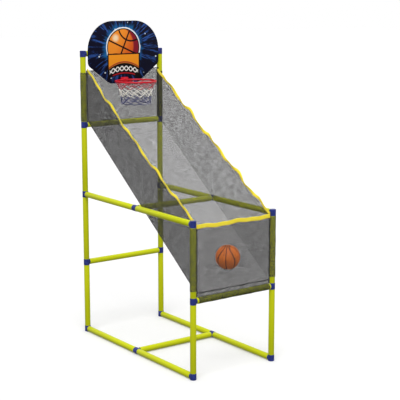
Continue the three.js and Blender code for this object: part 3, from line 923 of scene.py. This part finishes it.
def side_net_cut(side):
    """The smallest rectangle along the ramp's line that holds a side net, and the net's area."""
    depths = [between(NET_FRONT, NET_BACK, i / STRIPS) for i in range(STRIPS + 1)]
    outline = [(y, z) for y in depths for z in (ramp_height(y), net_top(side, y))]
    cos, sin = math.cos(RAMP_ANGLE), math.sin(RAMP_ANGLE)
    along = [y * cos + z * sin for y, z in outline]
    across = [z * cos - y * sin for y, z in outline]
    heights = [net_top(side, y) - ramp_height(y) for y in depths]
    area = net_depth / STRIPS * (sum(heights) - (heights[0] + heights[-1]) / 2)
    return (max(along) - min(along), max(across) - min(across)), area


for side, _ in SIDES:
    rectangle, area = side_net_cut(side)
    print(side, "net", [round(value, 3) for value in rectangle], "m, area", round(area, 3), "square metres")

# %% [markdown]
# ## Backboard
#
# The board is a sheet of polypropylene, 4 mm thick, cut to shape and printed on the front. A block is
# bisected along two slanted lines for the lower corners. Edge bevels then round the two big shoulders
# and ease the lower corners, and a small bevel takes the sharpness off the rim.

# %% Backboard
board_low, board_high = corners("backboard")
BOARD_HALF = board_high.x
BOARD_FOOT_HALF = 83 * MM
BOARD_SIDE_RISE = 95 * MM
BOARD_SHOULDER = 145 * MM
BOARD_CORNER = 14 * MM


def bevel_upright_edges(piece, test, radius, segments):
    """Rounds the edges that run through the board and whose place passes the test."""
    select_only(piece)
    bpy.ops.object.mode_set(mode="EDIT")
    bpy.ops.mesh.select_mode(type="EDGE")
    bpy.ops.mesh.select_all(action="DESELECT")
    mesh = bmesh.from_edit_mesh(piece.data)
    for edge in mesh.edges:
        a, b = (vertex.co for vertex in edge.verts)
        through = abs(a.y - b.y) > MM and abs(a.x - b.x) < 0.1 * MM and abs(a.z - b.z) < 0.1 * MM
        edge.select_set(through and test((a + b) / 2))
    bmesh.update_edit_mesh(piece.data)
    bpy.ops.mesh.bevel(offset=radius, segments=segments, affect="EDGES")
    bpy.ops.object.mode_set(mode="OBJECT")


board = box_between("backboard_panel", board_low, board_high)
slant = Vector((BOARD_SIDE_RISE, 0, BOARD_FOOT_HALF - BOARD_HALF)).normalized()
for sign in (-1, 1):
    cut_flat(board, (sign * BOARD_FOOT_HALF, 0, board_low.z), (sign * slant.x, 0, slant.z))
bevel_upright_edges(board, lambda place: place.z > board_high.z - MM, BOARD_SHOULDER, 28)
bevel_upright_edges(board, lambda place: place.z < board_low.z + BOARD_SIDE_RISE + MM, BOARD_CORNER, 8)
ease_edges(board, 0.7 * MM)
shade(board, 30)
print("board", len(board.data.polygons), "faces")

# %% [markdown]
# ## Printed face
#
# The print is a plain picture of a ball on a dark burst of light, over a blank orange banner. It is
# built from simple tests on the place of each point on the board, and each test is the stencil for
# one ink. A screen print on plastic has flat inks and a satin coat, and here it has no lettering.

# %% Printed face
BALL_AT = Vector((-3 * MM, 1439 * MM))
PRINTED_BALL = 93 * MM
PRINTED_LEAN = math.radians(-24)
PRINTED_SEAM = 4.0 * MM
SEAM_RING = 76 * MM
SEAM_RING_AT = 118 * MM
LIT_SIDE = Vector((-38 * MM, 8 * MM))
SHINE = Vector((-45 * MM, 48 * MM))
BANNER_TOP = 1404 * MM
BANNER_FOOT = 1362 * MM
BANNER_HALF = 89 * MM
BANNER_OUTLINE = (96 * MM, 6 * MM)
BANNER_SHADE = (5 * MM, 3.5 * MM)
INK_EDGE = 0.8 * MM
NET_WHITE = "#F2F2EE"
NET_PITCH = 26 * MM


def stencil(tree, value, limit, edge=INK_EDGE):
    """1 where a value is below a limit, and 0 above it."""
    return band(tree, value, limit - edge, limit + edge, 1.0, 0.0)


def both(tree, *masks):
    result = masks[0]
    for mask in masks[1:]:
        result = times(tree, result, mask)
    return result


def distance_from(tree, x, z, place):
    dx, dz = minus(tree, x, place[0]), minus(tree, z, place[1])
    return math_node(tree, "SQRT", plus(tree, times(tree, dx, dx), times(tree, dz, dz)))


def arch(tree, x, crown, fall):
    """Height of a shallow arch that falls away on both sides of its crown."""
    return minus(tree, crown, times(tree, times(tree, x, x), fall))


def net_pattern(tree, x, z):
    """Crossed cords, as in a hoop's net, that slant both ways."""
    cords = []
    for slant in ("ADD", "SUBTRACT"):
        across = math_node(tree, "DIVIDE", math_node(tree, slant, x, z), NET_PITCH)
        cords.append(math_node(tree, "LESS_THAN", math_node(tree, "PINGPONG", across, 0.5), 0.16))
    return math_node(tree, "MAXIMUM", *cords)


def paint_burst(tree, x, z, from_ball):
    """Dark night blue, with a blue glow behind the ball, thin rays and a few white specks."""
    flat = add(tree, "CombineXYZ", None, X=x, Z=z).outputs[0]
    colour = blend_colours(tree, noise(tree, flat, 14.0, 4.0), "#030309", "#0D0E30")
    dx, dz = minus(tree, x, BALL_AT.x), minus(tree, z, BALL_AT.y)
    across = math_node(tree, "DIVIDE", dx, from_ball)
    upward = math_node(tree, "DIVIDE", dz, from_ball)
    direction = add(tree, "CombineXYZ", None, X=across, Y=upward,
                    Z=times(tree, from_ball, 0.8)).outputs[0]
    rays = band(tree, noise(tree, direction, 11.0, 3.0, 0.7), 0.52, 0.62)
    fade = band(tree, from_ball, PRINTED_BALL, 230 * MM, 0.85, 0.45)
    colour = blend_colours(tree, both(tree, rays, fade), colour, "#3460B4")
    ragged = plus(tree, from_ball, times(tree, noise(tree, direction, 4.0, 4.0, 0.6), -0.10))
    glow = band(tree, ragged, 43 * MM, 78 * MM, 0.92, 0.0)
    colour = blend_colours(tree, glow, colour, "#1768A8")
    cells = add(tree, "TexVoronoi", None, Vector=flat, Scale=30.0)
    speck = stencil(tree, cells.outputs["Distance"], 0.13, 0.03)
    lot = add(tree, "SeparateXYZ", None, i0=cells.outputs["Color"]).outputs[0]
    rare = math_node(tree, "GREATER_THAN", lot, 0.45)
    return blend_colours(tree, both(tree, speck, rare), colour, "#DCE8F4")


def paint_ball(tree, x, z, from_ball, colour):
    """An orange ball with a white rim, dark seams, a pale shine and a red shaded side."""
    flat = add(tree, "CombineXYZ", None, X=x, Z=z).outputs[0]
    edge = plus(tree, from_ball, times(tree, noise(tree, flat, 55.0), -0.008))
    colour = blend_colours(tree, stencil(tree, edge, PRINTED_BALL + 4 * MM), colour, "#F4F8FC")
    inside = stencil(tree, from_ball, PRINTED_BALL)
    dx, dz = minus(tree, x, BALL_AT.x), minus(tree, z, BALL_AT.y)
    lower_right = minus(tree, dx, times(tree, dz, 0.55))
    orange = blend_colours(tree, band(tree, lower_right, -0.05, 0.06), "#F4902A", "#DA5C1E")
    from_light = distance_from(tree, x, z, BALL_AT + LIT_SIDE)
    shaded = band(tree, from_light, 92 * MM, 104 * MM)
    orange = blend_colours(tree, shaded, orange, "#86182A")
    from_shine = distance_from(tree, x, z, BALL_AT + SHINE)
    shine = band(tree, from_shine, 6 * MM, 26 * MM, 1.0, 0.0)
    orange = blend_colours(tree, times(tree, shine, 0.85), orange, "#FCE8C0")
    colour = blend_colours(tree, inside, colour, orange)
    cos, sin = math.cos(PRINTED_LEAN), math.sin(PRINTED_LEAN)
    along = plus(tree, times(tree, dx, cos), times(tree, dz, sin))
    over = minus(tree, times(tree, dz, cos), times(tree, dx, sin))
    lines = [stencil(tree, size_of(tree, place), PRINTED_SEAM) for place in (over, along)]
    for sign in (-1, 1):
        ring = distance_from(tree, along, over, (0, sign * SEAM_RING_AT))
        lines.append(stencil(tree, size_of(tree, minus(tree, ring, SEAM_RING)), PRINTED_SEAM))
    ink = stencil(tree, size_of(tree, minus(tree, from_ball, PRINTED_BALL)), 2.6 * MM)
    for line in lines:
        ink = math_node(tree, "MAXIMUM", ink, both(tree, line, inside))
    return blend_colours(tree, ink, colour, "#1A0B0A")


def paint_banner(tree, x, z, colour):
    """A blank orange banner with a dark outline, over an arch of white netting and a red one."""
    aside = size_of(tree, minus(tree, x, -1 * MM))
    above_foot = minus(tree, arch(tree, x, BANNER_FOOT, 3.6), z)
    below_top = minus(tree, z, BANNER_TOP)
    outline = both(tree, stencil(tree, aside, BANNER_OUTLINE[0]), stencil(tree, below_top, BANNER_OUTLINE[1]),
                   stencil(tree, minus(tree, arch(tree, x, 1304 * MM, 2.2), z), 0.0))
    colour = blend_colours(tree, outline, colour, "#120A0C")
    across = stencil(tree, aside, BANNER_HALF)
    orange = both(tree, across, stencil(tree, below_top, 0.0), stencil(tree, above_foot, 0.0))
    colour = blend_colours(tree, orange, colour, "#FC9C22")
    lift, half_height = BANNER_SHADE
    shade_line = both(tree, across, stencil(tree, size_of(tree, plus(tree, above_foot, lift)), half_height))
    colour = blend_colours(tree, shade_line, colour, "#A8442C")
    for crown, half_height, half_width, hex_colour in ((1335, 13, 84, NET_WHITE), (1312, 3, 66, "#B8202C")):
        curve = minus(tree, arch(tree, x, crown * MM, 2.4), z)
        strip = both(tree, stencil(tree, size_of(tree, curve), half_height * MM),
                     stencil(tree, aside, half_width * MM))
        if hex_colour == NET_WHITE:
            strip = both(tree, strip, net_pattern(tree, x, curve))
        colour = blend_colours(tree, strip, colour, hex_colour)
    return colour


def make_printed_plastic(front_y):
    material, tree, shader = new_material("screen-printed polypropylene sheet")
    parts = add(tree, "SeparateXYZ", None, i0=object_place(tree))
    x, y, z = parts.outputs
    from_ball = distance_from(tree, x, z, BALL_AT)
    colour = paint_burst(tree, x, z, from_ball)
    colour = paint_ball(tree, x, z, from_ball, colour)
    colour = paint_banner(tree, x, z, colour)
    printed = stencil(tree, y, front_y + 0.3 * MM, 0.05 * MM)
    tree.links.new(blend_colours(tree, printed, "#0C0D1C", colour), shader.inputs["Base Color"])
    scuffs = noise(tree, object_place(tree), 45.0, 5.0, 0.6)
    tree.links.new(band(tree, scuffs, 0.4, 0.8, 0.36, 0.46), shader.inputs["Roughness"])
    shader.inputs["Specular IOR Level"].default_value = 0.12
    bump(tree, shader, scuffs, 0.0001, 0.3)
    return material


printed_plastic = make_printed_plastic(board_low.y)
finish_piece(board, printed_plastic, "printed_board")
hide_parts("backboard")
print("print has", len(printed_plastic.node_tree.nodes), "nodes")

# %% [markdown]
# ## Board clips and screws
#
# Two saddle clips wrap the top crossbar behind the board, with two rivet heads on the feet of each.
# Their pegs through the board are not made. The hoop's bracket is held by two pan-head screws of
# zinc-plated steel, each with a cross recess. The board and the bracket have no holes for them.

# %% Board clips and screws
CLIP_WALL = 2.5 * MM
CLIP_CLEAR = 0.4 * MM
RIVET_RADIUS = 4 * MM
RIVET_HEIGHT = 1.6 * MM
RIVET_INSET = 6.5 * MM
RIVET_SUNK = 0.2 * MM
SCREW_HEAD_RADIUS = 4 * MM
SCREW_HEAD_HEIGHT = 2.4 * MM
SCREW_SHANK_RADIUS = 2 * MM
RECESS_HALF_LENGTH = 2.2 * MM
RECESS_HALF_WIDTH = 0.5 * MM
RECESS_DEPTH = 1.4 * MM


def make_clip(name, node):
    low, high = corners(node)
    x_low, x_high = low.x, high.x
    back_of_board = board_high.y + 0.3 * MM
    inner, outer = TUBE_RADIUS + CLIP_CLEAR, TUBE_RADIUS + CLIP_CLEAR + CLIP_WALL
    centre = (0, BACK_Y, TOP_Z)
    clip = cylinder(name, outer, x_low, x_high, X, 48, centre)
    cheeks = box_between("cheeks", (x_low, back_of_board, TOP_Z - outer), (x_high, BACK_Y, TOP_Z + outer))
    combine(clip, cheeks, "UNION")
    feet = box_between("feet", (x_low, back_of_board, low.z), (x_high, back_of_board + CLIP_WALL, high.z))
    combine(clip, feet, "UNION")
    reach = 2 * MM
    combine(clip, cylinder("hollow", inner, x_low - reach, x_high + reach, X, 48, centre), "DIFFERENCE")
    mouth = box_between("mouth", (x_low - reach, back_of_board - reach, TOP_Z - inner),
                        (x_high + reach, BACK_Y, TOP_Z + inner))
    combine(clip, mouth, "DIFFERENCE")
    ease_edges(clip, 0.5 * MM)
    for z in (low.z + RIVET_INSET, high.z - RIVET_INSET):
        foot = (middle(node).x, back_of_board + CLIP_WALL - RIVET_SUNK, z)
        rivet = cylinder("rivet", RIVET_RADIUS, 0, RIVET_HEIGHT, Y, 20, foot)
        combine(clip, rivet, "UNION")
    shade(clip, 30)
    finish_piece(clip, blue_plastic, "blue_connector")
    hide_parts(node)


def make_zinc():
    """Bright zinc plating: a metal with a slightly blue, cloudy skin."""
    material, tree, shader = new_material("zinc-plated steel")
    cloudy = noise(tree, object_place(tree), 300.0)
    tree.links.new(blend_colours(tree, cloudy, "#A9B0B8", "#D2D6DA"), shader.inputs["Base Color"])
    tree.links.new(band(tree, cloudy, 0.3, 0.7, 0.28, 0.42), shader.inputs["Roughness"])
    shader.inputs["Metallic"].default_value = 1.0
    return material


def make_screw(name, node):
    low, high = corners(node)
    centre = (middle(node).x, 0, middle(node).z)
    head_top = low.y
    head = cylinder(name, SCREW_HEAD_RADIUS, head_top, head_top + SCREW_HEAD_HEIGHT, Y, 28, centre)
    ease_edges(head, 0.9 * MM, 3)
    combine(head, cylinder("shank", SCREW_SHANK_RADIUS, head_top + 2 * MM, high.y, Y, 20, centre), "UNION")
    sizes = (RECESS_HALF_LENGTH, RECESS_HALF_WIDTH)
    for half_x, half_z in (sizes, sizes[::-1]):
        half = Vector((half_x, RECESS_DEPTH, half_z))
        slot_middle = Vector((centre[0], head_top, centre[2]))
        combine(head, box_between("slot", slot_middle - half, slot_middle + half), "DIFFERENCE")
    shade(head, 30)
    finish_piece(head, zinc, "screw_steel")
    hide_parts(node)


zinc = make_zinc()
for side, _ in SIDES:
    make_clip(f"board_clip_{side}", f"board_saddle_{side}")
    make_screw(f"hoop_pan_screw_{side}", f"hoop_screw_{side}")
print("clips and screws made")

# %% [markdown]
# ## Hoop
#
# The rim and its bracket are one red moulding. A torus is the rim. A bevelled plate lies on the board,
# a rounded boss joins them and two ribs brace the rim from the sides. Small eyes under the rim hold
# the net.

# %% Hoop
hoop_low, hoop_high = corners("hoop")
RIM_RADIUS = 4.5 * MM
HOOP_RADIUS = hoop_high.x - RIM_RADIUS
HOOP = Vector((0, hoop_low.y + HOOP_RADIUS + RIM_RADIUS, middle("hoop").z))
EYE_COUNT = 10
EYE_RADIUS = 3.4 * MM
EYE_WIRE = 1.3 * MM
PLATE_HALF = (22 * MM, 14 * MM)
PLATE_THICKNESS = 4 * MM
PLATE_CORNER = 5 * MM
BOSS_RADIUS = 13 * MM
BOSS_HALF_HEIGHT = 9 * MM
RIB_RADIUS = 2.4 * MM
RIB_FOOT = (15 * MM, 3 * MM, 9.5 * MM)
RIB_SPREAD = 24


def torus(name, major, minor, centre, sides, ring_sides, turn=None):
    bpy.ops.object.select_all(action="DESELECT")
    bpy.ops.mesh.primitive_torus_add(major_radius=major, minor_radius=minor,
                                     major_segments=sides, minor_segments=ring_sides)
    ring = newest(name)
    place_mesh(ring, Matrix.Translation(centre) @ (turn or Matrix.Identity(4)))
    return ring


rim = torus("hoop_moulding", HOOP_RADIUS, RIM_RADIUS, HOOP, 96, 16)
plate_back = hoop_high.y
plate = box_between("plate", (-PLATE_HALF[0], plate_back - PLATE_THICKNESS, HOOP.z - PLATE_HALF[1]),
                    (PLATE_HALF[0], plate_back, HOOP.z + PLATE_HALF[1]))
bevel_upright_edges(plate, lambda place: True, PLATE_CORNER, 5)
ease_edges(plate, 0.8 * MM)
combine(rim, plate, "UNION")
boss_middle = (0, plate_back - 3.5 * MM, HOOP.z)
boss = cylinder("boss", BOSS_RADIUS, -BOSS_HALF_HEIGHT, BOSS_HALF_HEIGHT, Z, 40, boss_middle)
ease_edges(boss, 3 * MM, 4)
cut_flat(boss, (0, plate_back - 1 * MM, 0), Y)
combine(rim, boss, "UNION")
for sign in (-1, 1):
    start = Vector((sign * RIB_FOOT[0], plate_back - RIB_FOOT[1], HOOP.z - RIB_FOOT[2]))
    spread = math.radians(90 - sign * RIB_SPREAD)
    end = HOOP + Vector((math.cos(spread), math.sin(spread), 0)) * HOOP_RADIUS
    rib = cylinder("rib", RIB_RADIUS, 0, (end - start).length, end - start, 16, start)
    combine(rim, rib, "UNION")
for i in range(EYE_COUNT):
    angle = 2 * math.pi * i / EYE_COUNT
    outward = Vector((math.cos(angle), math.sin(angle), 0))
    eye_middle = HOOP + outward * (HOOP_RADIUS - 1.5 * MM) - Z * (RIM_RADIUS + 1.4 * MM)
    combine(rim, torus("eye", EYE_RADIUS, EYE_WIRE, eye_middle, 14, 8, turn_from_z(outward)), "UNION")
shade(rim, 40)
finish_piece(rim, red_plastic, "red_hoop")
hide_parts("hoop")
print("hoop moulding", len(rim.data.polygons), "faces")

# %% [markdown]
# ## Hoop net
#
# The net is braided nylon cord, knotted into diamonds in three bands of colour. Each cord winds down
# half a diamond to a row, half of them one way and half the other, and where two cross there is a
# knot. A bevelled curve gives each cord its round section, and it is then turned into a mesh.

# %% Hoop net
NET_ROWS = 6
CORD_RADIUS = 1.7 * MM
NET_PROFILE = ((0.0, 96.0, 7.0), (0.10, 92.0, 15.0), (0.27, 84.0, 31.0), (0.5, 78.5, 56.0),
               (0.75, 75.5, 82.0), (1.0, 73.0, 107.0))
BANDS_BELOW_RIM = (36 * MM, 72 * MM)
SCALLOP_DROP = 4.5 * MM


def net_place(down, angle):
    """A point on the net, from its share of the way down and its angle round the hoop."""
    for (a, radius_a, drop_a), (b, radius_b, drop_b) in zip(NET_PROFILE, NET_PROFILE[1:]):
        if down <= b + 1e-9:
            share = (down - a) / (b - a)
            radius, drop = between(radius_a, radius_b, share) * MM, between(drop_a, drop_b, share) * MM
            return HOOP + Vector((radius * math.cos(angle), radius * math.sin(angle), -drop))


def make_cord(points):
    curve = bpy.data.curves.new("cord", "CURVE")
    curve.dimensions = "3D"
    curve.bevel_depth = CORD_RADIUS
    curve.bevel_resolution = 1
    curve.use_fill_caps = True
    line = curve.splines.new("POLY")
    line.points.add(len(points) - 1)
    for target, point in zip(line.points, points):
        target.co = (*point, 1)
    cord = bpy.data.objects.new("cord", curve)
    bpy.context.collection.objects.link(cord)
    select_only(cord)
    bpy.ops.object.convert(target="MESH")
    return bpy.context.object


def make_net():
    step = 2 * math.pi / EYE_COUNT
    pieces = []
    for strand in range(EYE_COUNT):
        start = strand * step
        for way in (-1, 1):
            samples = 3 * NET_ROWS
            path = [net_place(k / samples, start + way * step * NET_ROWS / 2 * k / samples)
                    for k in range(samples + 1)]
            pieces.append(make_cord(path))
        loop_start = start + step * (NET_ROWS % 2) / 2
        loop = [net_place(1.0, loop_start + step * k / 8) - Z * SCALLOP_DROP * math.sin(math.pi * k / 8)
                for k in range(9)]
        pieces.append(make_cord(loop))
        for row in range(1, NET_ROWS + 1):
            bpy.ops.object.select_all(action="DESELECT")
            bpy.ops.mesh.primitive_ico_sphere_add(subdivisions=1, radius=1.3 * CORD_RADIUS)
            knot = newest("knot")
            place_mesh(knot, Matrix.Translation(net_place(row / NET_ROWS, start + step * (row % 2) / 2)))
            pieces.append(knot)
    select_only(pieces[0], *pieces[1:])
    bpy.ops.object.join()
    net = newest("hoop_net_cords")
    shade(net, 80)
    return net


def make_cord_nylon():
    """Braided nylon, dyed in bands: red at the rim, then white, then navy."""
    material, tree, shader = new_material("braided nylon cord")
    place = object_place(tree)
    height = add(tree, "SeparateXYZ", None, i0=place).outputs[2]
    uneven = plus(tree, height, times(tree, noise(tree, place, 60.0), 0.004))
    white_from, navy_from = (HOOP.z - drop for drop in BANDS_BELOW_RIM)
    colour = blend_colours(tree, stencil(tree, uneven, white_from), "#B8263A", "#EDE9E2")
    colour = blend_colours(tree, stencil(tree, uneven, navy_from), colour, "#2A2F6E")
    tree.links.new(colour, shader.inputs["Base Color"])
    strands = add(tree, "TexWave", {"bands_direction": "DIAGONAL"}, Vector=place, Scale=260.0, Distortion=2.0)
    bump(tree, shader, strands.outputs["Fac"], 0.0002, 0.6)
    shader.inputs["Roughness"].default_value = 0.7
    shader.inputs["Sheen Weight"].default_value = 0.2
    return material


hoop_net = make_net()
finish_piece(hoop_net, make_cord_nylon(), "net_cord")
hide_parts("hoop_net")
print("net", len(hoop_net.data.polygons), "faces")

# %% [markdown]
# ## Ball
#
# The ball is blown vinyl with a pebbled skin. Its eight panels are divided by seams: two great circles
# and a bent loop on each side. The seams are pressed into the mesh as grooves, and the same formula
# colours them, a little narrower than the grooves are.

# %% Ball
BALL_RADIUS = (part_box("ball")[1][0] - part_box("ball")[0][0]) / 2
BALL_TURN = math.radians(47)
BALL_LEAN = math.radians(-16)
SEAM_HALF = 0.045
SEAM_DEPTH = 1.0 * MM
SIDE_SEAM = 0.70
SEAM_BEND = 0.8
ball_axes = Matrix.Rotation(BALL_LEAN, 4, "X") @ Matrix.Rotation(BALL_TURN, 4, "Z")


def seam_distance(direction):
    """Distance from the nearest seam, for a direction from the ball's middle."""
    across, deep, up = ball_axes.to_3x3() @ direction
    return min(abs(across), abs(deep), abs(abs(across) - SIDE_SEAM * (1 - SEAM_BEND * up * up)))


bpy.ops.object.select_all(action="DESELECT")
bpy.ops.mesh.primitive_uv_sphere_add(segments=192, ring_count=112, radius=BALL_RADIUS)
ball = newest("ball_skin")
for vertex in ball.data.vertices:
    direction = vertex.co.normalized()
    depth = max(0.0, 1 - seam_distance(direction) / SEAM_HALF) ** 0.5 * SEAM_DEPTH
    vertex.co = direction * (BALL_RADIUS - depth)
place_mesh(ball, Matrix.Translation(BALL_MIDDLE))
shade(ball, 80)


def make_pebbled_vinyl():
    """Blown vinyl: a pebbled orange skin, rubbed paler on the crowns, with near-black seams."""
    material, tree, shader = new_material("pebbled vinyl")
    place = object_place(tree)
    centred = add(tree, "VectorMath", {"operation": "SUBTRACT"}, i0=place, i1=tuple(BALL_MIDDLE)).outputs[0]
    turned = add(tree, "Mapping", None, Vector=centred, Rotation=tuple(ball_axes.to_euler("XYZ"))).outputs[0]
    unit = add(tree, "VectorMath", {"operation": "NORMALIZE"}, i0=turned).outputs[0]
    parts = add(tree, "SeparateXYZ", None, i0=unit)
    across, deep, up = parts.outputs
    side_seam = minus(tree, SIDE_SEAM, times(tree, times(tree, up, up), SIDE_SEAM * SEAM_BEND))
    nearest = size_of(tree, minus(tree, size_of(tree, across), side_seam))
    for part in (across, deep):
        nearest = math_node(tree, "MINIMUM", nearest, size_of(tree, part))
    seams = stencil(tree, nearest, SEAM_HALF * 0.75, 0.006)
    pebbles = add(tree, "TexVoronoi", None, Vector=place, Scale=1 / (2.2 * MM)).outputs["Distance"]
    orange = blend_colours(tree, noise(tree, place, 30.0), "#EE7010", "#FA8822")
    tree.links.new(blend_colours(tree, seams, orange, "#2A1712"), shader.inputs["Base Color"])
    bump(tree, shader, pebbles, -0.0004, 0.5)
    shader.inputs["Roughness"].default_value = 0.5
    return material


finish_piece(ball, make_pebbled_vinyl(), "orange_ball", "loose_ball")
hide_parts("ball")

VALVE_DIRECTION = Vector((0, 0.5, math.sqrt(0.75)))
VALVE_RING = 3.2 * MM
VALVE_BEAD = 0.9 * MM
VALVE_SUNK = 0.2 * MM
valve_middle = BALL_MIDDLE + VALVE_DIRECTION * (BALL_RADIUS - VALVE_SUNK)
valve = torus("ball_valve", VALVE_RING, VALVE_BEAD, valve_middle, 24, 10, turn_from_z(VALVE_DIRECTION))
shade(valve, 80)
black_rubber = make_moulded_plastic("moulded rubber, black", "#141414", "#2A2A2A", 0.5)
finish_piece(valve, black_rubber, "orange_ball", "loose_ball")
print("ball of radius", round(BALL_RADIUS / MM, 1), "mm")

# %% [markdown]
# ## Studio
#
# A pale floor that glows a little runs on into a white room. The room is brightest overhead, and one
# very soft light, high at the front left, gives the round tubes their shape. The white floor would
# throw a lot of light up from below and flatten them, so it lights nothing itself: the room below the
# floor, which is dimmer, does.

# %% Studio
ROOM_ABOVE, ROOM_BELOW = 0.85, 0.35
FLOOR_WIDTH = 60
FLOOR_GLOW = 0.12
KEY_LIGHT_AT = (-1.3, -2.0, 5.6)
KEY_LIGHT_SPREAD = 35
KEY_LIGHT_STRENGTH = 2.0


def make_floor():
    bpy.ops.object.select_all(action="DESELECT")
    bpy.ops.mesh.primitive_plane_add(size=FLOOR_WIDTH, location=(0, 0, -0.5 * MM))
    floor = newest("studio_floor")
    material, tree, shader = new_material("matt pale paper")
    grain = noise(tree, object_place(tree), 3.0)
    tree.links.new(blend_colours(tree, grain, "#D4D4D4", "#D8D8D8"), shader.inputs["Base Color"])
    shader.inputs["Roughness"].default_value = 0.9
    shader.inputs["Emission Color"].default_value = (1, 1, 1, 1)
    shader.inputs["Emission Strength"].default_value = FLOOR_GLOW
    floor.data.materials.append(material)
    floor.visible_diffuse = False
    floor.visible_glossy = False
    floor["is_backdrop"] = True


def make_soft_light(where, width, strength):
    bpy.ops.object.light_add(type="SUN", location=where)
    light = bpy.context.object
    light.name = "soft_key_light"
    light.data.angle = math.radians(width)
    light.data.energy = strength
    light.rotation_euler = (CAMERA_AIM - Vector(where)).to_track_quat("-Z", "Y").to_euler()


def make_room():
    world = bpy.data.worlds.new("studio")
    bpy.context.scene.world = world
    world.use_nodes = True
    tree = world.node_tree
    way = add(tree, "SeparateXYZ", None, i0=tree.nodes.new("ShaderNodeTexCoord").outputs["Generated"])
    glow = band(tree, way.outputs[2], -0.3, 0.5, ROOM_BELOW, ROOM_ABOVE)
    seen = tree.nodes.new("ShaderNodeLightPath").outputs["Is Camera Ray"]
    background = tree.nodes["Background"]
    background.inputs["Color"].default_value = (1, 1, 1, 1)
    tree.links.new(math_node(tree, "MAXIMUM", seen, glow), background.inputs["Strength"])


make_floor()
make_soft_light(KEY_LIGHT_AT, KEY_LIGHT_SPREAD, KEY_LIGHT_STRENGTH)
make_room()
bpy.context.scene.view_settings.view_transform = "Standard"
print("studio ready")

# %% [markdown]
# ## Finish
#
# The finished surface is meant to keep the CAD model's size. Both boxes are gathered here, and the
# finished one is printed, as the CAD box was at the start.

# %% Finish
boxes = {"cad": cad_box, "visual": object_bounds()}
{name: [list(corner) for corner in box] for name, box in boxes.items()}
print("visual box", [[round(value, 4) for value in corner] for corner in boxes["visual"]])
